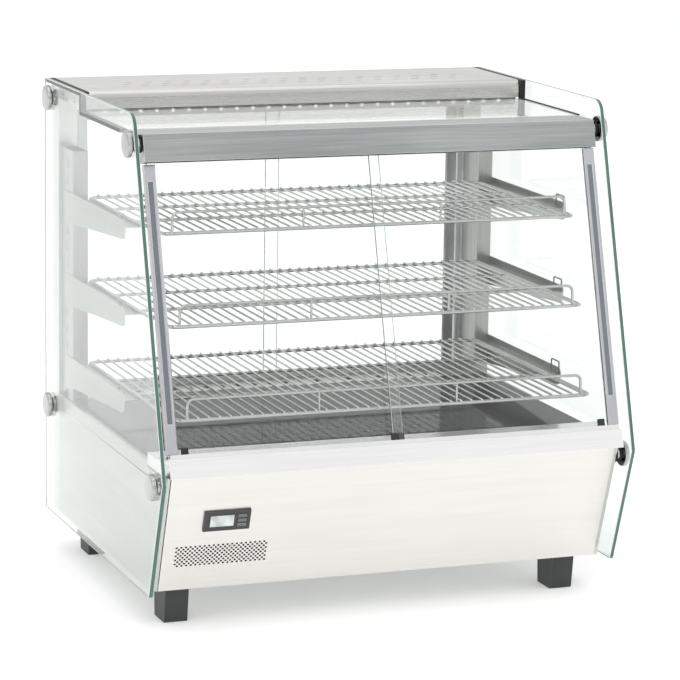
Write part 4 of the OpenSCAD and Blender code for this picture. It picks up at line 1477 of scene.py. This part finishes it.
@dataclass
class WireShelf(SubAssembly):
    """A chromed wire shelf with a guard along its front."""

    tier: str = "top"
    frame_wire: float = 5.0 * MM
    bar_wire: float = 3.0 * MM
    guard_wire: float = 3.8 * MM
    bar_pitch: float = 15.0 * MM
    guard_inset: float = 16.0 * MM
    guard_setback: float = 4.5 * MM
    bend: float = 9.0 * MM
    weld_sink: float = 0.3 * MM
    bar_sink: float = 0.5 * MM
    side_margin: float = 24.0 * MM
    bar_end_gap: float = 0.8 * MM
    cross_places: tuple[float, ...] = (0.34, 0.67)
    post_places: tuple[float, ...] = (-0.35, 0.35)

    def build(self) -> None:
        """Makes the bent frame with its guard, and the row of bars."""
        node = f"shelf_{self.tier}"
        low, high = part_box(node)
        r = self.frame_wire / 2
        x, front, back, level = high[0] - r, low[1] + r, high[1] - r, low[2] + r
        rail = high[2] - self.guard_wire / 2
        guard_x, guard_y = high[0] - self.guard_inset, low[1] + self.guard_setback
        cross = r - self.weld_sink
        runs = [([(-x, front, level), (x, front, level), (x, back, level), (-x, back, level)], r, True)]
        for share in self.cross_places:
            y = front + share * (back - front)
            runs.append(([(-x, y, level), (x, y, level)], cross, False))
        runs.append(([(-guard_x, guard_y, level), (-guard_x, guard_y, rail), (guard_x, guard_y, rail),
                      (guard_x, guard_y, level)], self.guard_wire / 2, False))
        for share in self.post_places:
            runs.append(([(share * guard_x, guard_y, level), (share * guard_x, guard_y, rail)],
                         self.bar_wire / 2, False))
        self.keep(wires(f"{node}_wires", runs, self.bend, WIRE_CHROME), node)
        self.bars(node, level + cross + self.bar_wire / 2 - self.bar_sink)

    def bars(self, node: str, level: float) -> None:
        """Lays the bars across the frame.

        Args:
            node: the shelf's CAD node.
            level: the height of the bars' axes.
        """
        low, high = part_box(node)
        count = int((high[0] - low[0] - self.side_margin) / self.bar_pitch) + 1
        start = (-(count - 1) / 2 * self.bar_pitch, low[1] + self.bar_end_gap, level)
        piece = new_piece(f"{node}_bars", bpy.data.meshes.new(f"{node}_bars"))
        grown(piece, bar_row_tree(), WIRE_CHROME, Count=count, Start=start, Pitch=self.bar_pitch,
              Length=high[1] - low[1] - 2 * self.bar_end_gap, Radius=self.bar_wire / 2, Sides=12)
        self.keep(piece, node, stands_for=False)


@dataclass
class Brackets(SubAssembly):
    """The tapered shelf brackets that hook into the uprights, with a wire stop at each tip."""

    edge: float = 0.35 * MM
    stop_wire: float = 2.4 * MM
    stop_depth: float = 26.0 * MM
    stop_rise: float = 17.0 * MM
    stop_setback: float = 6.0 * MM
    stop_bend: float = 2.5 * MM

    def build(self) -> None:
        """Makes both sides' brackets."""
        for side in Side:
            self.worked(f"brackets_{side.value}", BRACKET_STEEL, self.edge)
            self.stops(side)

    def stops(self, side: Side) -> None:
        """Bends a small rectangular loop above each bracket's tip, which keeps the shelf from sliding off.

        Args:
            side: the side of the case.
        """
        node = f"brackets_{side.value}"
        low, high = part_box(node)
        x = high[0] - self.stop_wire / 2 if side is Side.RIGHT else low[0] + self.stop_wire / 2
        front = low[1] + self.stop_setback
        back = front + self.stop_depth
        r = self.stop_wire / 2
        runs = []
        for tier in ("bottom", "middle", "top"):
            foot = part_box(f"shelf_{tier}")[0][2]
            top = foot + self.stop_rise
            runs.append(([(x, front, foot), (x, front, top), (x, back, top), (x, back, foot)], r, True))
        piece = wires(f"bracket_stops_{side.value}", runs, self.stop_bend, STOP_WIRE, sides=8)
        self.keep(piece, node, stands_for=False)


@dataclass
class Controls(SubAssembly):
    """The temperature controller, the rocker switches and the mains inlet."""

    bezel_round: float = 0.9 * MM

    def build(self) -> None:
        """Makes the controls."""
        self.worked("controller_case", BEZEL_PLASTIC, self.bezel_round, steps=3)
        self.worked("controller_lens", DISPLAY, 0.3 * MM)
        for key in ("up", "down", "set"):
            self.worked(f"button_{key}", KEY_PLASTIC, 0.7 * MM, steps=3)
        self.worked("rocker_frames", BLACK_PLASTIC, 0.4 * MM)
        for rocker in ("power_rocker", "lamp_rocker"):
            self.worked(rocker, RED_ROCKER, 0.5 * MM, steps=3)
        self.worked("power_inlet", BLACK_PLASTIC, 0.4 * MM)


@dataclass
class Services(SubAssembly):
    """Heater, fan, water tray, terminal block and lamp driver inside the base."""

    blade_count: int = 7
    hub_radius: float = 14.0 * MM
    hub_length: float = 18.0 * MM
    blade_tip: float = 36.0 * MM
    blade_chord: float = 22.0 * MM
    blade_pitch: float = 38.0
    blade_thickness: float = 1.4 * MM
    blade_camber: float = 2.2 * MM
    blade_root: float = 2.0 * MM
    blade_depth: float = 0.8
    blade_spans: int = 6
    blade_chords: int = 8
    hub_round: float = 1.5 * MM
    hub_sides: int = 48
    heater_bend: float = 30.0 * MM
    heater_runs: int = 4

    def build(self) -> None:
        """Makes the services."""
        self.heater()
        self.dress("heater_clips", SATIN_ACROSS)
        self.worked("fan_frame", BLACK_PLASTIC, 0.4 * MM)
        self.fan()
        self.worked("water_tray", SATIN_ACROSS, 0.3 * MM)
        self.dress("tray_guides", SATIN_DEEP)
        self.worked("terminal_block", IVORY_PLASTIC, 0.8 * MM)
        self.worked("led_driver", IVORY_PLASTIC, 0.8 * MM)

    def heater(self) -> None:
        """Bends the tubular heater."""
        low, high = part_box("heater_element")
        r = (high[2] - low[2]) / 2
        level, first = (low[2] + high[2]) / 2, low[1] + r
        pitch = (high[1] - low[1] - 2 * r) / (self.heater_runs - 1)
        reach = high[0] - r
        path = [(-reach + self.heater_bend, first, level)]
        for run in range(self.heater_runs - 1):
            side = reach if run % 2 == 0 else -reach
            path += [(side, first + run * pitch, level), (side, first + (run + 1) * pitch, level)]
        path.append((-reach + self.heater_bend, first + (self.heater_runs - 1) * pitch, level))
        piece = wires("heater_tube", [(path, r, False)], self.heater_bend, HEATED_SHEATH, sides=20)
        self.keep(piece, "heater_element")

    def fan(self) -> None:
        """Turns the fan's hub and sets swept blades round it."""
        low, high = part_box("fan_rotor")
        centre = ((low[0] + high[0]) / 2, (low[1] + high[1]) / 2, (low[2] + high[2]) / 2)
        half = self.hub_length / 2
        r = self.hub_radius
        outline = [(0.0, -half), (r, -half), (r, half - self.hub_round), (r - self.hub_round, half),
                   (0.0, half)]
        hub = lathe("fan_hub", outline, self.hub_sides, FOOT_PLASTIC)
        hub.data.transform(Matrix.Translation(centre) @ Matrix.Rotation(math.radians(-90), 4, "X"))
        self.keep(hub, "fan_rotor")
        blades = grown(new_piece("fan_blades", self.blade()), blades_tree(), FOOT_PLASTIC,
                       Count=self.blade_count, Centre=centre)
        self.keep(blades, "fan_rotor", stands_for=False)

    def blade(self) -> bpy.types.Mesh:
        """One cambered blade that untwists towards its tip, with a thin closed section.

        Returns:
            The mesh.
        """
        spans, chords, thick = self.blade_spans, self.blade_chords, self.blade_thickness
        grid = bmesh.new()
        rings = []
        for i in range(spans + 1):
            along = i / spans
            reach = self.hub_radius - self.blade_root + along * (
                self.blade_tip - self.hub_radius + self.blade_root)
            twist = math.radians(self.blade_pitch * (1.12 - 0.35 * along))
            chord = self.blade_chord * (0.72 + 0.28 * math.sin(math.pi * min(1.0, 0.35 + along * 0.5)))
            section = []
            for face in (1, -1):
                order = range(chords + 1) if face > 0 else range(chords - 1, 0, -1)
                for j in order:
                    t = j / chords - 0.5
                    camber = self.blade_camber * (1 - 4 * t * t)
                    depth = camber + face * thick / 2 * math.sqrt(max(0.06, 1 - 4 * t * t))
                    section.append((reach, t * chord, depth))
            ring = []
            for px, across_blade, depth in section:
                y = across_blade * math.sin(twist) + depth * math.cos(twist)
                z = across_blade * math.cos(twist) - depth * math.sin(twist)
                ring.append(grid.verts.new((px, y * self.blade_depth, z)))
            rings.append(ring)
        for low, high in zip(rings, rings[1:]):
            for k in range(len(low)):
                nxt = (k + 1) % len(low)
                grid.faces.new((low[k], low[nxt], high[nxt], high[k]))
        grid.faces.new(rings[0][::-1])
        grid.faces.new(rings[-1])
        bmesh.ops.recalc_face_normals(grid, faces=grid.faces)
        mesh = bpy.data.meshes.new("fan_blade")
        grid.to_mesh(mesh)
        grid.free()
        return mesh


@dataclass
class Studio:
    """A pale floor, soft lamps and the camera."""

    camera_place: Point = (-1.518, -4.049, 1.195)
    camera_yaw: float = 20.70
    camera_pitch: float = 11.20
    camera_roll: float = 0.92
    lens: float = 165.7
    floor_size: float = 14.0
    floor_glow: float = 0.3

    def build(self) -> None:
        """Sets the stage."""
        self.floor()
        self.sky()
        self.lamp("key", (-1.6, -2.6, 2.6), (0.0, 0.0, 0.35), 2.2, 14.0)
        self.lamp("fill", (2.6, -1.8, 1.6), (0.0, 0.0, 0.35), 1.8, 5.0)
        self.lamp("top", (0.0, 0.2, 3.0), (0.0, 0.0, 0.4), 2.6, 12.0)
        self.camera()
        scene = bpy.context.scene
        scene.view_settings.view_transform = "Standard"
        scene.view_settings.look = "None"
        scene.cycles.transparent_max_bounces = 24
        scene.cycles.transmission_bounces = 16
        scene.cycles.max_bounces = 18

    def floor(self) -> None:
        """Lays the floor."""
        half = self.floor_size / 2
        grid = bmesh.new()
        grid_points = [(-half, -half, 0.0), (half, -half, 0.0), (half, half, 0.0), (-half, half, 0.0)]
        grid.faces.new([grid.verts.new(p) for p in grid_points])
        mesh = bpy.data.meshes.new("floor")
        grid.to_mesh(mesh)
        grid.free()

        def paint(sketch: NodeSketch, shader: bpy.types.Node, where: bpy.types.NodeSocket) -> None:
            """Draws the pale floor.

            Args:
                sketch: the material's sketch.
                shader: the Principled node.
                where: the Object coordinates.
            """
            cloud = sketch.noise(where, 1.5, 2.0)
            low_shade, high_shade = (0.90, 0.90, 0.90), (0.94, 0.94, 0.94)
            sketch.feed(shader.inputs["Base Color"], sketch.blend(cloud, low_shade, high_shade))
            shader.inputs["Roughness"].default_value = 0.9
            sketch.feed(shader.inputs["Emission Color"], sketch.blend(cloud, low_shade, high_shade))
            shader.inputs["Emission Strength"].default_value = self.floor_glow

        mesh.materials.append(material("Pale floor", paint))
        new_piece("floor", mesh)

    def sky(self) -> None:
        """Sets the even white surround."""
        world = bpy.data.worlds.new("surround")
        world.use_nodes = True
        background = world.node_tree.nodes["Background"]
        background.inputs["Color"].default_value = (1.0, 1.0, 1.0, 1.0)
        background.inputs["Strength"].default_value = 1.0
        bpy.context.scene.world = world

    def lamp(self, name: str, place: Point, target: Point, size: float, power: float) -> None:
        """Hangs a square soft lamp.

        Args:
            name: its name.
            place: where it hangs.
            target: the point that it faces.
            size: its side.
            power: its power in watts.
        """
        data = bpy.data.lights.new(name, "AREA")
        data.size, data.energy = size, power
        lamp = bpy.data.objects.new(name, data)
        lamp.location = place
        lamp.rotation_euler = (Vector(target) - Vector(place)).to_track_quat("-Z", "Y").to_euler()
        bpy.context.scene.collection.objects.link(lamp)

    def camera(self) -> None:
        """Stands the camera in front, to the left and a little above."""
        data = bpy.data.cameras.new("camera")
        data.lens, data.sensor_width, data.clip_end = self.lens, 36.0, 50.0
        camera = bpy.data.objects.new("camera", data)
        turn = (Matrix.Rotation(math.radians(-self.camera_yaw), 4, "Z")
                @ Matrix.Rotation(math.radians(90 - self.camera_pitch), 4, "X")
                @ Matrix.Rotation(math.radians(self.camera_roll), 4, "Z"))
        camera.matrix_world = Matrix.Translation(self.camera_place) @ turn
        bpy.context.scene.collection.objects.link(camera)
        bpy.context.scene.camera = camera


def main() -> None:
    """Builds every sub-assembly, then the stage."""
    logging.basicConfig(level=logging.INFO, format="%(message)s", stream=sys.stdout)
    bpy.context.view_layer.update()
    parts: list[SubAssembly] = [
        Base(), Deck(), Frame(), Lamps(), SideGlass(), SlidingDoors(), WireShelf(tier="top"),
        WireShelf(tier="middle"), WireShelf(tier="bottom"), Brackets(), Controls(), Services()]
    for part in parts:
        part.build()
        LOG.info("%s: %s", type(part).__name__, ", ".join(part.made))
    Studio().build()


if __name__ == "__main__":
    main()
